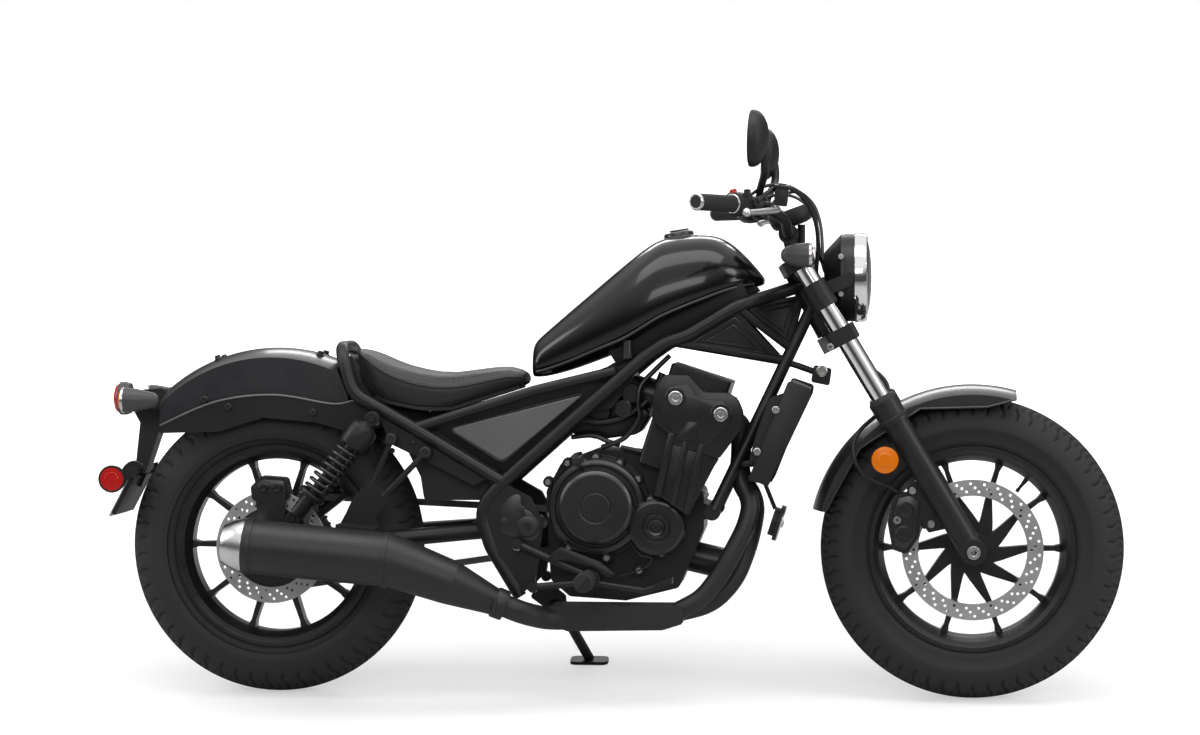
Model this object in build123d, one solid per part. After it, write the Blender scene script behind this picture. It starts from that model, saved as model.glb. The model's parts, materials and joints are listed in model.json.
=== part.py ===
from build123d import *

import os
from math import atan2, cos, degrees, pi, radians, sin, tan

os.makedirs("parts", exist_ok=True)

# Cruiser motorcycle, millimetres and degrees.  It is drawn upright: X runs forward from the rear
# axle, Y to the rider's left, Z up from the frame's base line.  At the end the whole machine is
# leaned on its side stand and set on the ground.

# --- driving dimensions: chassis geometry ---------------------------------------------------
wheelbase = 1490
rear_axle_height = 317
front_axle_height = 320
rake = 28
trail = 110
fork_angle = 31
lean = 9
steering_lock = 38
stand_fold = 100

# --- wheels and tyres ------------------------------------------------------------------------
front_tyre_radius = 320
front_tyre_width = 130
rear_tyre_radius = 317
rear_tyre_width = 150
bead_radius = 206
flange_radius = 217
front_rim_width = 100
rear_rim_width = 108
spoke_count = 10
spoke_width = 10
tyre_wall = 10

# --- fork and steering -----------------------------------------------------------------------
fork_spacing = 230
fork_tube_diameter = 41
fork_leg_diameter = 54
stem_diameter = 36
head_tube_diameter = 54
head_low = 775
head_high = 903
low_clamp_thickness = 34
high_clamp_thickness = 28
axle_diameter = 20
axle_bore = 12
handlebar_diameter = 22.2
handlebar_half_width = 398
headlight_diameter = 184

# --- frame -----------------------------------------------------------------------------------
main_tube = 28
rail_tube = 22
down_tube = 25
brace_tube = 20
pivot_x, pivot_z = 558, 363
pivot_bolt_diameter = 18
swingarm_tube = 36
swingarm_half_width = 118
rear_axle_diameter = 18

# --- brakes and drive ------------------------------------------------------------------------
front_disc_diameter = 296
front_disc_inner = 228
rear_disc_diameter = 240
rear_disc_inner = 172
disc_thickness = 4.5
front_disc_y = -72
rear_disc_y = -84
chain_pitch = 15.875
rear_teeth = 40
front_teeth = 15
chain_line = 88
sprocket_thickness = 4.4
chain_plate = 2.4
chain_plate_height = 14

# --- fits ------------------------------------------------------------------------------------
fit = 0.3
plate_gap = 0.8
pin_clearance = 0.3
disc_play = 6
slot_half = 7.5

# --- body ------------------------------------------------------------------------------------
sheet = 3
rear_fender_radius = 360
rear_fender_centre_height = 383
rear_fender_half_width = 90
front_fender_radius = 347
front_fender_half_width = 74
plate_bolt_spacing = 146
plate_bolt_radius = 3.5


# --- small helpers ---------------------------------------------------------------------------
def rod(start, end, diameter):
    """Round bar between two points."""
    start, end = Vector(*start), Vector(*end)
    along = end - start
    return extrude(Plane(origin=start, z_dir=along) * Circle(diameter / 2), amount=along.length)


def arc_radii(points, largest):
    """Radius of each bend: 0.45 of the shorter run, over the tangent of half the turn."""
    radii = []
    for before, here, after in zip(points, points[1:], points[2:]):
        arriving = Vector(*here) - Vector(*before)
        leaving = Vector(*after) - Vector(*here)
        half_turn = radians(arriving.get_angle(leaving) / 2)
        shorter = min(arriving.length, leaving.length)
        radii.append(min(largest, 0.45 * shorter / tan(half_turn)))
    return radii


def bent_tube(points, diameter, largest=1000):
    """Round bar along straight runs joined by tangent arcs."""
    path = FilletPolyline(*points, radius=arc_radii(points, largest))
    return sweep(Plane(origin=path @ 0, z_dir=path % 0) * Circle(diameter / 2), path=path)


def slab(outline, y_low, y_high, corner=0):
    """Plate with an outline of (x, z) points, between two places across the machine."""
    if corner:
        edges = FilletPolyline(*outline, radius=corner, close=True)
    else:
        edges = Polyline(*outline, close=True)
    return extrude(Plane.XZ.offset(-y_high) * make_face(edges), amount=y_high - y_low)


def drum(x, z, radius, y_low, y_high):
    """Cylinder across the machine."""
    return extrude(Plane.XZ.offset(-y_high) * Pos(x, z) * Circle(radius), amount=y_high - y_low)


def turned(profile_edges, x, z):
    """Ring about a cross axis at (x, z); the profile has (radius, y) coordinates."""
    profile = Plane.XY * make_face(profile_edges)
    return Pos(x, 0, z) * revolve(profile, axis=Axis.Y)


def pair(shape):
    """A piece and its mirror image on the other side."""
    return shape + mirror(shape, about=Plane.XZ)


def steering_x(height):
    return wheelbase + trail - tan(radians(rake)) * height


def fork_x(height):
    return wheelbase - tan(radians(fork_angle)) * (height - front_axle_height)


def steering_plane(height):
    """Plane square to the steering axis; its x runs forward."""
    return Plane(origin=(steering_x(height), 0, height), x_dir=(cos(radians(rake)), 0, sin(radians(rake))),
                 z_dir=(-sin(radians(rake)), 0, cos(radians(rake))))


def fork_point(height, side):
    return (fork_x(height), side * fork_spacing / 2, height)


def from_front(distance):
    """A place given by its distance behind the front axle."""
    return wheelbase - distance


RIGHT, LEFT = -1, 1
front_x = wheelbase
front_z = front_axle_height
rear_z = rear_axle_height
nodes = {}


# --- wheels ----------------------------------------------------------------------------------
def rim(half_width, x, z):
    # (radius, y) from the flange's tip to the well, then back along the face seen from outside
    outside = [(flange_radius, half_width), (flange_radius, half_width - 4), (bead_radius - 1, half_width - 7),
               (bead_radius - 3, half_width - 24), (flange_radius - 23, half_width - 33)]
    inside = [(flange_radius - 31, half_width - 34), (flange_radius - 27, half_width - 24),
              (flange_radius - 19, half_width - 6), (flange_radius - 9, half_width)]
    mirrored = [(radius, -y) for radius, y in reversed(outside)]
    mirrored_inside = [(radius, -y) for radius, y in reversed(inside)]
    return turned(Polyline(*outside, *mirrored, *mirrored_inside, *inside, close=True), x, z)


def tyre(radius, width, rim_half_width, x, z):
    crown = width / 2
    belt = radius - crown
    seat = rim_half_width - 7 - fit - 0.2
    side = [(bead_radius, seat - 12), (bead_radius, seat), (flange_radius + 1, rim_half_width - 4 - fit - 0.4),
            (flange_radius + 5, rim_half_width + 1), (belt, crown)]
    hollow = [(belt, crown - tyre_wall), (bead_radius + 12, seat - 10)]
    outer = ThreePointArc((belt, crown), (radius, 0), (belt, -crown))
    inner = ThreePointArc((belt, tyre_wall - crown), (radius - tyre_wall, 0), (belt, crown - tyre_wall))
    low_side = Polyline(*[(r, -y) for r, y in reversed(side)])
    low_hollow = Polyline((bead_radius, 12 - seat), (bead_radius + 12, 10 - seat), (belt, tyre_wall - crown))
    high_hollow = Polyline(*hollow, (bead_radius, seat - 12))
    edges = Polyline(*side) + outer + low_side + low_hollow + inner + high_hollow
    return turned(edges, x, z)


def spoke(hub_radius, rim_radius, angle, thickness, sweep_back, x, z):
    """Blade from the hub to the rim; at the hub it is wide and leans back from its radius."""
    outline = [(hub_radius - 12, -16 - sweep_back), (hub_radius + 30, -9 - sweep_back * 0.75),
               (rim_radius * 0.62, -spoke_width / 2 - 2), (rim_radius - 16, -spoke_width / 2),
               (rim_radius + 4, -spoke_width), (rim_radius + 4, spoke_width), (rim_radius - 16, spoke_width / 2),
               (rim_radius * 0.62, spoke_width / 2 + 1), (hub_radius + 30, 9 - sweep_back * 0.35),
               (hub_radius - 12, 16 - sweep_back * 0.6)]
    blade = slab(outline, -thickness / 2, thickness / 2)
    return Pos(x, 0, z) * Rot(0, -angle, 0) * blade


def wheel(x, z, rim_half_width, hub_radius, hub_low, hub_high, bore_radius, sweep_back, thickness):
    body = rim(rim_half_width, x, z) + drum(x, z, hub_radius, hub_low, hub_high)
    for number in range(spoke_count):
        angle = 90 + 360 / spoke_count * (number + 0.5)
        body += spoke(hub_radius, flange_radius - 29, angle, thickness, sweep_back, x, z)
    return body - drum(x, z, bore_radius, hub_low - 1, hub_high + 1)


front_hub_half = 46
front_disc_face = front_disc_y + disc_thickness / 2
front_wheel = wheel(front_x, front_z, front_rim_width / 2, 34, -front_hub_half, front_hub_half,
                    axle_diameter / 2 + pin_clearance, 22, 30)
disc_seat_radius = front_disc_inner / 2 + 7
lug_count, lug_radius = 5, 9
for number in range(lug_count):
    angle = radians(108 + 360 / lug_count * number)
    lug_x, lug_z = front_x + disc_seat_radius * cos(angle), front_z + disc_seat_radius * sin(angle)
    front_wheel += drum(lug_x, lug_z, lug_radius, front_disc_face, -10)
nodes["front_wheel"] = front_wheel
nodes["front_tyre"] = tyre(front_tyre_radius, front_tyre_width, front_rim_width / 2, front_x, front_z)


def brake_disc(x, z, diameter, inner, y):
    low, high = y - disc_thickness / 2, y + disc_thickness / 2
    return drum(x, z, diameter / 2, low, high) - drum(x, z, inner / 2, low - 1, high + 1)


nodes["front_brake_disc"] = brake_disc(front_x, front_z, front_disc_diameter, front_disc_inner, front_disc_y)

rear_hub_right, rear_hub_left = -76, 93
sprocket_low = chain_line - sprocket_thickness / 2
sprocket_high = chain_line + sprocket_thickness / 2
sprocket_seat_radius = 46
rear_disc_face = rear_disc_y + disc_thickness / 2
rear_wheel = wheel(0, rear_z, rear_rim_width / 2, 42, rear_hub_right, sprocket_low,
                   rear_axle_diameter / 2 + pin_clearance, 0, 34)
rear_wheel += drum(0, rear_z, 62, 58, sprocket_low) - drum(0, rear_z, 20, 50, 100)
disc_seat = drum(0, rear_z, rear_disc_inner / 2 + 6, rear_disc_face, rear_disc_face + 6)
rear_wheel += disc_seat - drum(0, rear_z, 20, -90, -60)
nodes["rear_wheel"] = rear_wheel
nodes["rear_tyre"] = tyre(rear_tyre_radius, rear_tyre_width, rear_rim_width / 2, 0, rear_z)
nodes["rear_brake_disc"] = brake_disc(0, rear_z, rear_disc_diameter, rear_disc_inner, rear_disc_y)


def pitch_radius(teeth):
    return chain_pitch * teeth / (2 * pi)


def toothed(teeth, x, z, y_low, y_high):
    root, tip = pitch_radius(teeth) - 5, pitch_radius(teeth) + 4
    step = 2 * pi / teeth
    outline = []
    for tooth in range(teeth):
        for share, radius in ((0.12, root), (0.38, tip), (0.62, tip), (0.88, root)):
            angle = (tooth + share) * step
            outline.append((x + radius * cos(angle), z + radius * sin(angle)))
    return slab(outline, y_low, y_high)


nodes["rear_sprocket"] = toothed(rear_teeth, 0, rear_z, sprocket_low, sprocket_high) \
    - drum(0, rear_z, rear_axle_diameter / 2 + pin_clearance, sprocket_low - 1, sprocket_high + 1)

# --- chain: two rows of plates beside the sprockets, joined by rollers on the straight runs ----
front_sprocket_x, front_sprocket_z = 645, 350
big, small = pitch_radius(rear_teeth), pitch_radius(front_teeth)
drop = atan2(front_sprocket_z - rear_z, front_sprocket_x)
reach = (front_sprocket_x ** 2 + (front_sprocket_z - rear_z) ** 2) ** 0.5
wrap = degrees(atan2(big - small, reach))


def chain_band(y_low, y_high):
    """Loop of one row of plates round both sprockets."""
    half = chain_plate_height / 2
    faces = []
    for offset in (half, -half):
        rear_circle, front_circle = big + offset, small + offset
        top_angle = 90 + degrees(drop) - wrap
        low_angle = degrees(drop) - 90 + wrap
        top = [(r * cos(radians(top_angle)), r * sin(radians(top_angle))) for r in (rear_circle, front_circle)]
        low = [(r * cos(radians(low_angle)), r * sin(radians(low_angle))) for r in (rear_circle, front_circle)]
        dx, dz = front_sprocket_x, front_sprocket_z - rear_z
        back = (-rear_circle * cos(drop), -rear_circle * sin(drop))
        nose = (dx + front_circle * cos(drop), dz + front_circle * sin(drop))
        edges = ThreePointArc(top[0], back, low[0]) + Line(low[0], (dx + low[1][0], dz + low[1][1])) \
            + ThreePointArc((dx + low[1][0], dz + low[1][1]), nose, (dx + top[1][0], dz + top[1][1])) \
            + Line((dx + top[1][0], dz + top[1][1]), top[0])
        faces.append(make_face(edges))
    band = faces[0] - faces[1]
    return extrude(Plane.XZ.offset(-y_high) * Pos(0, rear_z) * band, amount=y_high - y_low)


band_inner = sprocket_thickness / 2 + plate_gap
chain = chain_band(chain_line + band_inner, chain_line + band_inner + chain_plate)
chain += chain_band(chain_line - band_inner - chain_plate, chain_line - band_inner)
roller_count = 9
for side in (1, -1):
    tilt = radians(degrees(drop) + side * (90 - wrap))
    start_x, start_z = big * cos(tilt), rear_z + big * sin(tilt)
    end_x, end_z = front_sprocket_x + small * cos(tilt), front_sprocket_z + small * sin(tilt)
    for number in range(roller_count):
        share = 0.24 + 0.62 * number / (roller_count - 1)
        chain += drum(start_x + (end_x - start_x) * share, start_z + (end_z - start_z) * share, 5,
                      chain_line - band_inner - chain_plate, chain_line + band_inner + chain_plate)
nodes["chain"] = chain

# --- frame -----------------------------------------------------------------------------------
# Each row: tube diameter, then its points (x, distance from the middle, z), made on both sides.
engine_width = 156
frame_tubes = [
    (main_tube, [(steering_x(878), 10, 878), (from_front(498), 100, 831), (890, 115, 770), (844, 115, 755),
                 (803, 115, 726), (686, 115, 624), (497, 115, 455), (464, 115, 420), (456, 115, 383),
                 (476, 115, 322), (539, 115, 218)]),
    (down_tube, [(steering_x(838), 12, 838), (948, 104, 402)]),
    (rail_tube, [(740, 112, 696), (568, 112, 654), (300, 114, 570)]),
    (brace_tube, [(862, 112, 757), (from_front(394), 38, 716)]),
    (brace_tube, [(994, 96, 832), (from_front(381), 32, 742)]),
]
loop_points = [(497, 115, 462), (305, 115, 577), (182, 112, 646), (150, 96, 744), (150, -96, 744),
               (182, -112, 646), (305, -115, 577), (497, -115, 462)]
frame = extrude(steering_plane(head_low) * Circle(head_tube_diameter / 2),
                amount=(head_high - head_low) / cos(radians(rake)))
for diameter, points in frame_tubes:
    one_side = bent_tube(points, diameter, 90) if len(points) > 2 else rod(points[0], points[-1], diameter)
    frame += pair(one_side)
frame += bent_tube(loop_points, main_tube, 60)
frame += rod((524, -115, 242), (524, 115, 242), brace_tube)
frame += rod((636, -115, 579), (636, 115, 579), brace_tube)
# Plates that carry the swingarm's pivot and the side stand's lug.
plate_inner, plate_outer = 104, 124
pivot_plate = [(470, 436), (500, 462), (560, 428), (586, 380), (584, 340), (570, 250), (541, 222), (500, 270),
               (466, 335)]
frame += pair(slab(pivot_plate, plate_inner, plate_outer, 8))
frame -= drum(pivot_x, pivot_z, pivot_bolt_diameter / 2 + fit, -140, 140)
gusset_low, gusset_high = 111, 118
gusset = [(236, 600), (300, 574), (470, 470), (440, 452), (330, 508), (262, 540)]
frame += pair(slab(gusset, gusset_low, gusset_high))
stand_x, stand_y, stand_z = 592, 130, 186
frame += slab([(536, 196), (548, 226), (586, 222), (614, 200), (614, 172), (578, 166)], plate_inner, stand_y - 12, 6)
# Ears at the down tubes' feet hold the engine's front.
engine_ear_x, engine_ear_z = 944, 398
frame += pair(drum(engine_ear_x, engine_ear_z, 17, engine_width / 2 + fit, 112))
frame -= extrude(steering_plane(head_low - 40) * Circle(stem_diameter / 2 + pin_clearance),
                 amount=(head_high - head_low + 90) / cos(radians(rake)))
nodes["frame"] = frame

# Thin panels close the triangles between the upper tubes.
panel_corners = [[(868, 111, 752), (from_front(498), 97, 826), (from_front(398), 40, 719)],
                 [(from_front(490), 95, 830), (from_front(384), 34, 745), (from_front(354), 12, 858)]]
panels = []
for corners in panel_corners:
    panel = extrude(make_face(Polyline(*corners, close=True)), amount=sheet / 2, both=True) - frame
    panels.append(max(panel.solids(), key=lambda solid: solid.volume))
nodes["frame_panels"] = pair(panels[0] + panels[1])

# --- swingarm and rear axle -------------------------------------------------------------------
arm_points = [(pivot_x, 80, pivot_z), (430, 80, 353), (270, swingarm_half_width, 339),
              (20, swingarm_half_width, rear_z + 2)]
arm = bent_tube(arm_points, swingarm_tube, 120)
arm_inner, arm_outer = swingarm_half_width - 14, swingarm_half_width + 14
arm += slab([(-42, rear_z - 22), (-42, rear_z + 22), (60, rear_z + 30), (60, rear_z - 24)], arm_inner, arm_outer, 10)
shock_y = 144
shock_low_x, shock_low_z = 58, 382
shock_top_x, shock_top_z = 228, 594
shock_ear = [(36, rear_z + 16), (46, shock_low_z), (shock_low_x, shock_low_z + 14), (72, shock_low_z),
             (100, rear_z + 18)]
arm += slab(shock_ear, arm_inner, shock_y - 20, 4)
swingarm = pair(arm)
swingarm += drum(pivot_x, pivot_z, 18, -plate_inner + fit, plate_inner - fit)
swingarm += rod((430, -80, 353), (430, 80, 353), 32)
swingarm += pair(drum(pivot_x, pivot_z, 15, plate_outer + fit, plate_outer + 12))
swingarm += drum(pivot_x, pivot_z, pivot_bolt_diameter / 2, -plate_outer - 12, plate_outer + 12)
swingarm -= drum(0, rear_z, rear_axle_diameter / 2 + fit, -200, 200)
shock_stud = drum(shock_low_x, shock_low_z, 6, arm_inner, shock_y + 16)
swingarm += pair(shock_stud)
nodes["swingarm"] = swingarm

rear_axle = drum(0, rear_z, rear_axle_diameter / 2, -150, 150)
rear_axle += pair(drum(0, rear_z, 15, arm_outer + fit, arm_outer + 14))
rear_axle += drum(0, rear_z, 14, sprocket_high + 1, arm_inner - fit)
rear_axle += drum(0, rear_z, 14, -arm_inner + fit, rear_hub_right - 1)
nodes["rear_axle"] = rear_axle

# --- shock absorbers --------------------------------------------------------------------------
shock_low = Vector(shock_low_x, shock_y, shock_low_z)
shock_top = Vector(shock_top_x, shock_y, shock_top_z)
shock_along = (shock_top - shock_low).normalized()
shock_length = (shock_top - shock_low).length


# Stepped body turned about the shock absorber's axis: (distance from the lower eye, radius)
eye_radius, eye_half = 15, 12
shock_steps = [(8, 0), (8, 18), (84, 18), (84, 26), (202, 26), (202, 28), (shock_length - 20, 28),
               (shock_length - 20, 10), (shock_length - 8, 10), (shock_length - 8, 0)]
shock_plane = Plane(origin=shock_low, x_dir=shock_along, z_dir=(0, -1, 0))
damper = revolve(shock_plane * make_face(Polyline(*shock_steps, close=True)), axis=Axis(shock_low, shock_along))
for eye_x, eye_z, stud_radius in ((shock_low_x, shock_low_z, 6), (shock_top_x, shock_top_z, 7)):
    damper += drum(eye_x, eye_z, eye_radius, shock_y - eye_half, shock_y + eye_half)
    damper -= drum(eye_x, eye_z, stud_radius + fit, shock_y - 60, shock_y + 60)
nodes["shock_absorbers"] = pair(damper)

# --- engine ------------------------------------------------------------------------------------
crankcase_outline = [(596, 300), (590, 440), (622, 500), (700, 530), (806, 522), (880, 474), (925, 440),
                     (925, 360), (900, 300), (872, 236), (760, 208), (640, 216), (600, 250)]
engine_half = engine_width / 2
crankcase = slab(crankcase_outline, -engine_half, engine_half, 14)
crankcase += drum(engine_ear_x - 20, engine_ear_z, 17, -engine_half, engine_half)
cylinder_lean = 18
cylinder_seat = Pos(852, 0, 478) * Rot(0, cylinder_lean, 0)
cylinder_height, head_height, cover_height = 100, 84, 34
standing = (Align.CENTER, Align.CENTER, Align.MIN)
cylinder = cylinder_seat * Pos(0, 0, 6) * Box(140, 226, cylinder_height, align=standing)
nodes["cylinder_block"] = fillet(cylinder.edges().filter_by(lambda edge: edge.length < 105), 12)
crankcase -= cylinder_seat * Pos(0, 0, 6 - fit) * Box(141, 227, 200, align=standing)
crankcase += drum(front_sprocket_x, front_sprocket_z, 20, engine_half, sprocket_low)
crankcase += toothed(front_teeth, front_sprocket_x, front_sprocket_z, sprocket_low, sprocket_high)
crankcase += rod((880, 0, 301), (964, 0, 282), 66)
nodes["crankcase"] = crankcase
head_base = 6 + cylinder_height
head = cylinder_seat * Pos(0, 0, head_base) * Box(160, 262, head_height, align=standing)
head = fillet(head.edges().filter_by(lambda edge: edge.length < 90), 16)
cover_base = head_base + head_height
cam_cover = cylinder_seat * Pos(0, 0, cover_base) * Box(132, 236, cover_height, align=standing)
head += fillet(cam_cover.edges().filter_by(lambda edge: edge.length < 40), 14)
nodes["cylinder_head"] = head

clutch_x, clutch_z, clutch_radius = 700, 409, 104
clutch = drum(clutch_x, clutch_z, clutch_radius, -engine_half - 42, -engine_half)
clutch += drum(clutch_x, clutch_z, 76, -engine_half - 72, -engine_half - 42)
timing_x, timing_z = 826, 366
timing = drum(timing_x, timing_z, 58, -engine_half - 46, -engine_half)
timing -= drum(clutch_x, clutch_z, clutch_radius + fit, -engine_half - 90, -engine_half + 1)
generator = drum(800, 400, 84, engine_half, engine_half + 40) + drum(800, 400, 66, engine_half + 40, engine_half + 66)
nodes["engine_covers"] = clutch + timing + generator
sprocket_cover_low = chain_line + band_inner + chain_plate + 4
cover_outline = [(596, 300), (596, 404), (640, 420), (706, 410), (706, 290), (640, 284)]
sprocket_cover = slab(cover_outline, sprocket_cover_low, sprocket_cover_low + 18, 12)
for post_x, post_z in ((698, 398), (698, 300)):
    sprocket_cover += drum(post_x, post_z, 7, engine_half, sprocket_cover_low + 4)
sprocket_cover -= drum(800, 400, 84 + 1, engine_half - 1, engine_half + 90)
nodes["sprocket_cover"] = sprocket_cover

# --- intake, radiator, exhaust --------------------------------------------------------------------
airbox = slab([(610, 600), (730, 616), (776, 676), (768, 722), (600, 660)], -86, 86, 10)
airbox += pair(rod((760, 45, 664), (840, 45, 632), 46))
nodes["airbox"] = airbox - head

down_start, down_end = frame_tubes[1][1]


def down_tube_x(height):
    return down_start[0] + (down_end[0] - down_start[0]) * (down_start[2] - height) / (down_start[2] - down_end[2])


# The radiator stands ahead of the down tubes, so its ends follow theirs.
radiator_top = (down_tube_x(664) + 55.95, 664)
radiator_low = (down_tube_x(464) + 64.65, 464)
radiator_thickness = 44
radiator_slope = atan2(radiator_top[0] - radiator_low[0], radiator_top[1] - radiator_low[1])
radiator_height = ((radiator_top[0] - radiator_low[0]) ** 2 + (radiator_top[1] - radiator_low[1]) ** 2) ** 0.5
radiator = Pos((radiator_top[0] + radiator_low[0]) / 2, 0, (radiator_top[1] + radiator_low[1]) / 2) \
    * Rot(0, degrees(radiator_slope), 0) * Box(radiator_thickness, 300, radiator_height)
for height in (500, 610):
    share = (down_start[2] - height) / (down_start[2] - down_end[2])
    lug_y = down_start[1] + (down_end[1] - down_start[1]) * share
    lug_x = down_tube_x(height)
    lug = rod((lug_x, lug_y, height), (lug_x + 46, lug_y, height), 14)
    lug -= rod(down_start, down_end, down_tube + 2 * fit)
    radiator += pair(max(lug.solids(), key=lambda solid: solid.center().X))
# The horn hangs from the radiator's foot on a strap and faces forward and down.
horn_back = Vector(radiator_low[0] + 24, -20, 376)
horn_axis = Vector(0.95, 0, -0.31).normalized()
horn_strap = rod((radiator_low[0] + 4, -20, 470), tuple(horn_back + horn_axis * 4 + Vector(4, 0, 26)), 9) - radiator
horn_strap = min(horn_strap.solids(), key=lambda solid: solid.center().Z)
horn = rod(tuple(horn_back), tuple(horn_back + horn_axis * 12), 62)
horn += rod(tuple(horn_back + horn_axis * 12), tuple(horn_back + horn_axis * 20), 78)
nodes["radiator"] = radiator + horn_strap + horn

pipe_diameter = 40
right_pipe = [(968, -42, 594), (1000, -42, 582), (1001, -42, 520), (996, -48, 468), (1026, -64, 418),
              (1014, -76, 366), (985, -84, 310), (957, -86, 260), (922, -88, 214), (868, -90, 186)]
left_pipe = [(968, 42, 594), (1000, 42, 582), (1001, 42, 524), (996, 40, 470), (1034, 26, 412),
             (1020, 10, 330), (990, -14, 250), (940, -34, 198), (868, -40, 180)]
headers = bent_tube(right_pipe, pipe_diameter) + bent_tube(left_pipe, pipe_diameter)
collector_outline = [(596, 160), (640, 146), (840, 150), (884, 164), (884, 200), (600, 200)]
headers += slab(collector_outline, -122, -24, 10)
muffler_y = -210
muffler_front = Vector(276, muffler_y, 301)
muffler_inlet = Vector(500, -168, 208)
inlet_axis = (muffler_front - muffler_inlet).normalized()
link_pipe = [(660, -90, 172), (600, -104, 170), tuple(muffler_inlet - inlet_axis * 56), tuple(muffler_inlet)]
headers += bent_tube(link_pipe, 48)
nodes["exhaust_pipes"] = headers - head

muffler_diameter = 114
muffler_rear = Vector(-30, muffler_y, 329)
muffler_axis = (muffler_rear - muffler_front).normalized()
can = rod(tuple(muffler_front), tuple(muffler_rear), muffler_diameter)
cone = loft([Plane(origin=muffler_inlet, z_dir=inlet_axis) * Circle(27),
             Plane(origin=(400, -196, 254), z_dir=inlet_axis) * Circle(47),
             Plane(origin=muffler_front, z_dir=muffler_axis) * Circle(muffler_diameter / 2)], ruled=True)
nodes["muffler"] = can + cone
tip_far = muffler_rear + muffler_axis * 48
tip = loft([Plane(origin=muffler_rear, z_dir=muffler_axis) * Circle(muffler_diameter / 2 + 1),
            Plane(origin=tip_far, z_dir=muffler_axis) * Circle(38)])
outlet = rod(tuple(muffler_rear + muffler_axis * 10), tuple(tip_far + muffler_axis * 10), 48)
nodes["muffler_tip"] = tip - outlet

# The hanger is a plate with two arms up to rings on the frame's gusset, and a foot on the muffler.
hanger_inner, hanger_outer = -150, -143
hanger_plate = [(156, 366), (172, 396), (187, 428), (219, 464), (254, 440), (260, 422), (236, 386), (244, 360)]
muffler_hanger = slab(hanger_plate, hanger_inner, hanger_outer, 4)
for ring_x, ring_z, foot_x, foot_z in ((268, 552, 222, 446), (341, 524, 250, 430)):
    muffler_hanger += drum(ring_x, ring_z, 12, hanger_inner, -gusset_high - fit)
    muffler_hanger += rod((ring_x, -140, ring_z), (foot_x, -146, foot_z), 13)
foot = slab([(158, 330), (158, 374), (242, 366), (242, 322)], -200, hanger_outer)
muffler_room = rod(tuple(muffler_front - muffler_axis * 20), tuple(muffler_rear), muffler_diameter + 2 * fit)
muffler_hanger += foot - muffler_room
nodes["muffler_hanger"] = max(muffler_hanger.solids(), key=lambda solid: solid.volume)

# --- fuel tank, seat, side covers ---------------------------------------------------------------
tank_side = [(559, 682), (569, 734), (591, 771), (821, 968), (936, 986), (969, 974), (1010, 939), (1048, 894),
             (1050, 880), (990, 866), (930, 838), (820, 788), (772, 744), (571, 680)]
tank_plan = [(559, 62), (640, 100), (760, 134), (880, 138), (968, 106), (1030, 62), (1050, 28)]
tank_section = [(84, 670), (138, 745), (140, 840), (112, 930), (60, 990)]


def mirrored_outline(points):
    return points + [(first, -second) for first, second in reversed(points)]


plan_face = make_face(FilletPolyline(*mirrored_outline(tank_plan), radius=20, close=True))
section_points = tank_section + [(-y, z) for y, z in reversed(tank_section)]
section_face = make_face(FilletPolyline(*section_points, radius=30, close=True))
tank = slab(tank_side, -150, 150, 6) & extrude(Plane.XY.offset(600) * plan_face, amount=500) \
    & extrude(Plane.YZ.offset(500) * section_face, amount=600)
tank_post_x, tank_post_low = 765, 720
tank += pair(rod((tank_post_x, 112, tank_post_low), (tank_post_x, 112, 770), 18))
nodes["fuel_tank"] = tank
cap_x, cap_z = 868, 975.7
cap_axis = Vector(-0.155, 0, 0.988)
nodes["fuel_cap"] = rod((cap_x, 0, cap_z), tuple(Vector(cap_x, 0, cap_z) + cap_axis * 14), 62)

seat_side = [(176, 747), (208, 738), (268, 706), (333, 687), (397, 685), (461, 695), (515, 704), (548, 690),
             (552, 668), (480, 642), (365, 608), (290, 622), (232, 672)]
seat_plan = [(176, 78), (226, 118), (300, 128), (390, 112), (470, 84), (552, 62)]
seat_plan_face = make_face(FilletPolyline(*mirrored_outline(seat_plan), radius=20, close=True))
seat = slab(seat_side, -140, 140, 5) & extrude(Plane.XY.offset(560) * seat_plan_face, amount=240)
nodes["seat"] = seat

box_half = 90
box_side = [(330, 420), (452, 420), (470, 452), (480, 520), (440, 596), (300, 588), (276, 560), (322, 470)]
battery_box = slab(box_side, -box_half, box_half, 8)
battery_box += pair(drum(420, 508, 10, box_half - 1, 115 - main_tube / 2 - fit))
# A block on the box carries the seat's middle.
battery_box += slab([(340, 580), (340, 612.4), (365, 607.7), (390, 615.1), (390, 580)], -60, 60)
nodes["battery_box"] = battery_box
cover_triangle = [(384, 572), (676, 650), (500, 500)]
side_cover = slab(cover_triangle, box_half + fit, 110, 8)
nodes["side_covers"] = pair(side_cover)

# --- fenders ---------------------------------------------------------------------------------------


def fender(radius, half_width, skirt, x, z, keep):
    """Sheet with a crowned top and a skirt each side, turned about (x, z) and trimmed to an outline."""
    shoulder = radius - 20
    outer = Line((skirt, half_width), (shoulder, half_width)) \
        + ThreePointArc((shoulder, half_width), (radius, 0), (shoulder, -half_width)) \
        + Line((shoulder, -half_width), (skirt, -half_width))
    inner_half = half_width - sheet
    inner = Line((skirt, -inner_half), (shoulder - 1, -inner_half)) \
        + ThreePointArc((shoulder - 1, -inner_half), (radius - sheet, 0), (shoulder - 1, inner_half)) \
        + Line((shoulder - 1, inner_half), (skirt, inner_half))
    low_edge = Line((skirt, -half_width), (skirt, -inner_half))
    high_edge = Line((skirt, inner_half), (skirt, half_width))
    return turned(outer + low_edge + inner + high_edge, x, z) & slab(keep, -200, 200)


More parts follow.
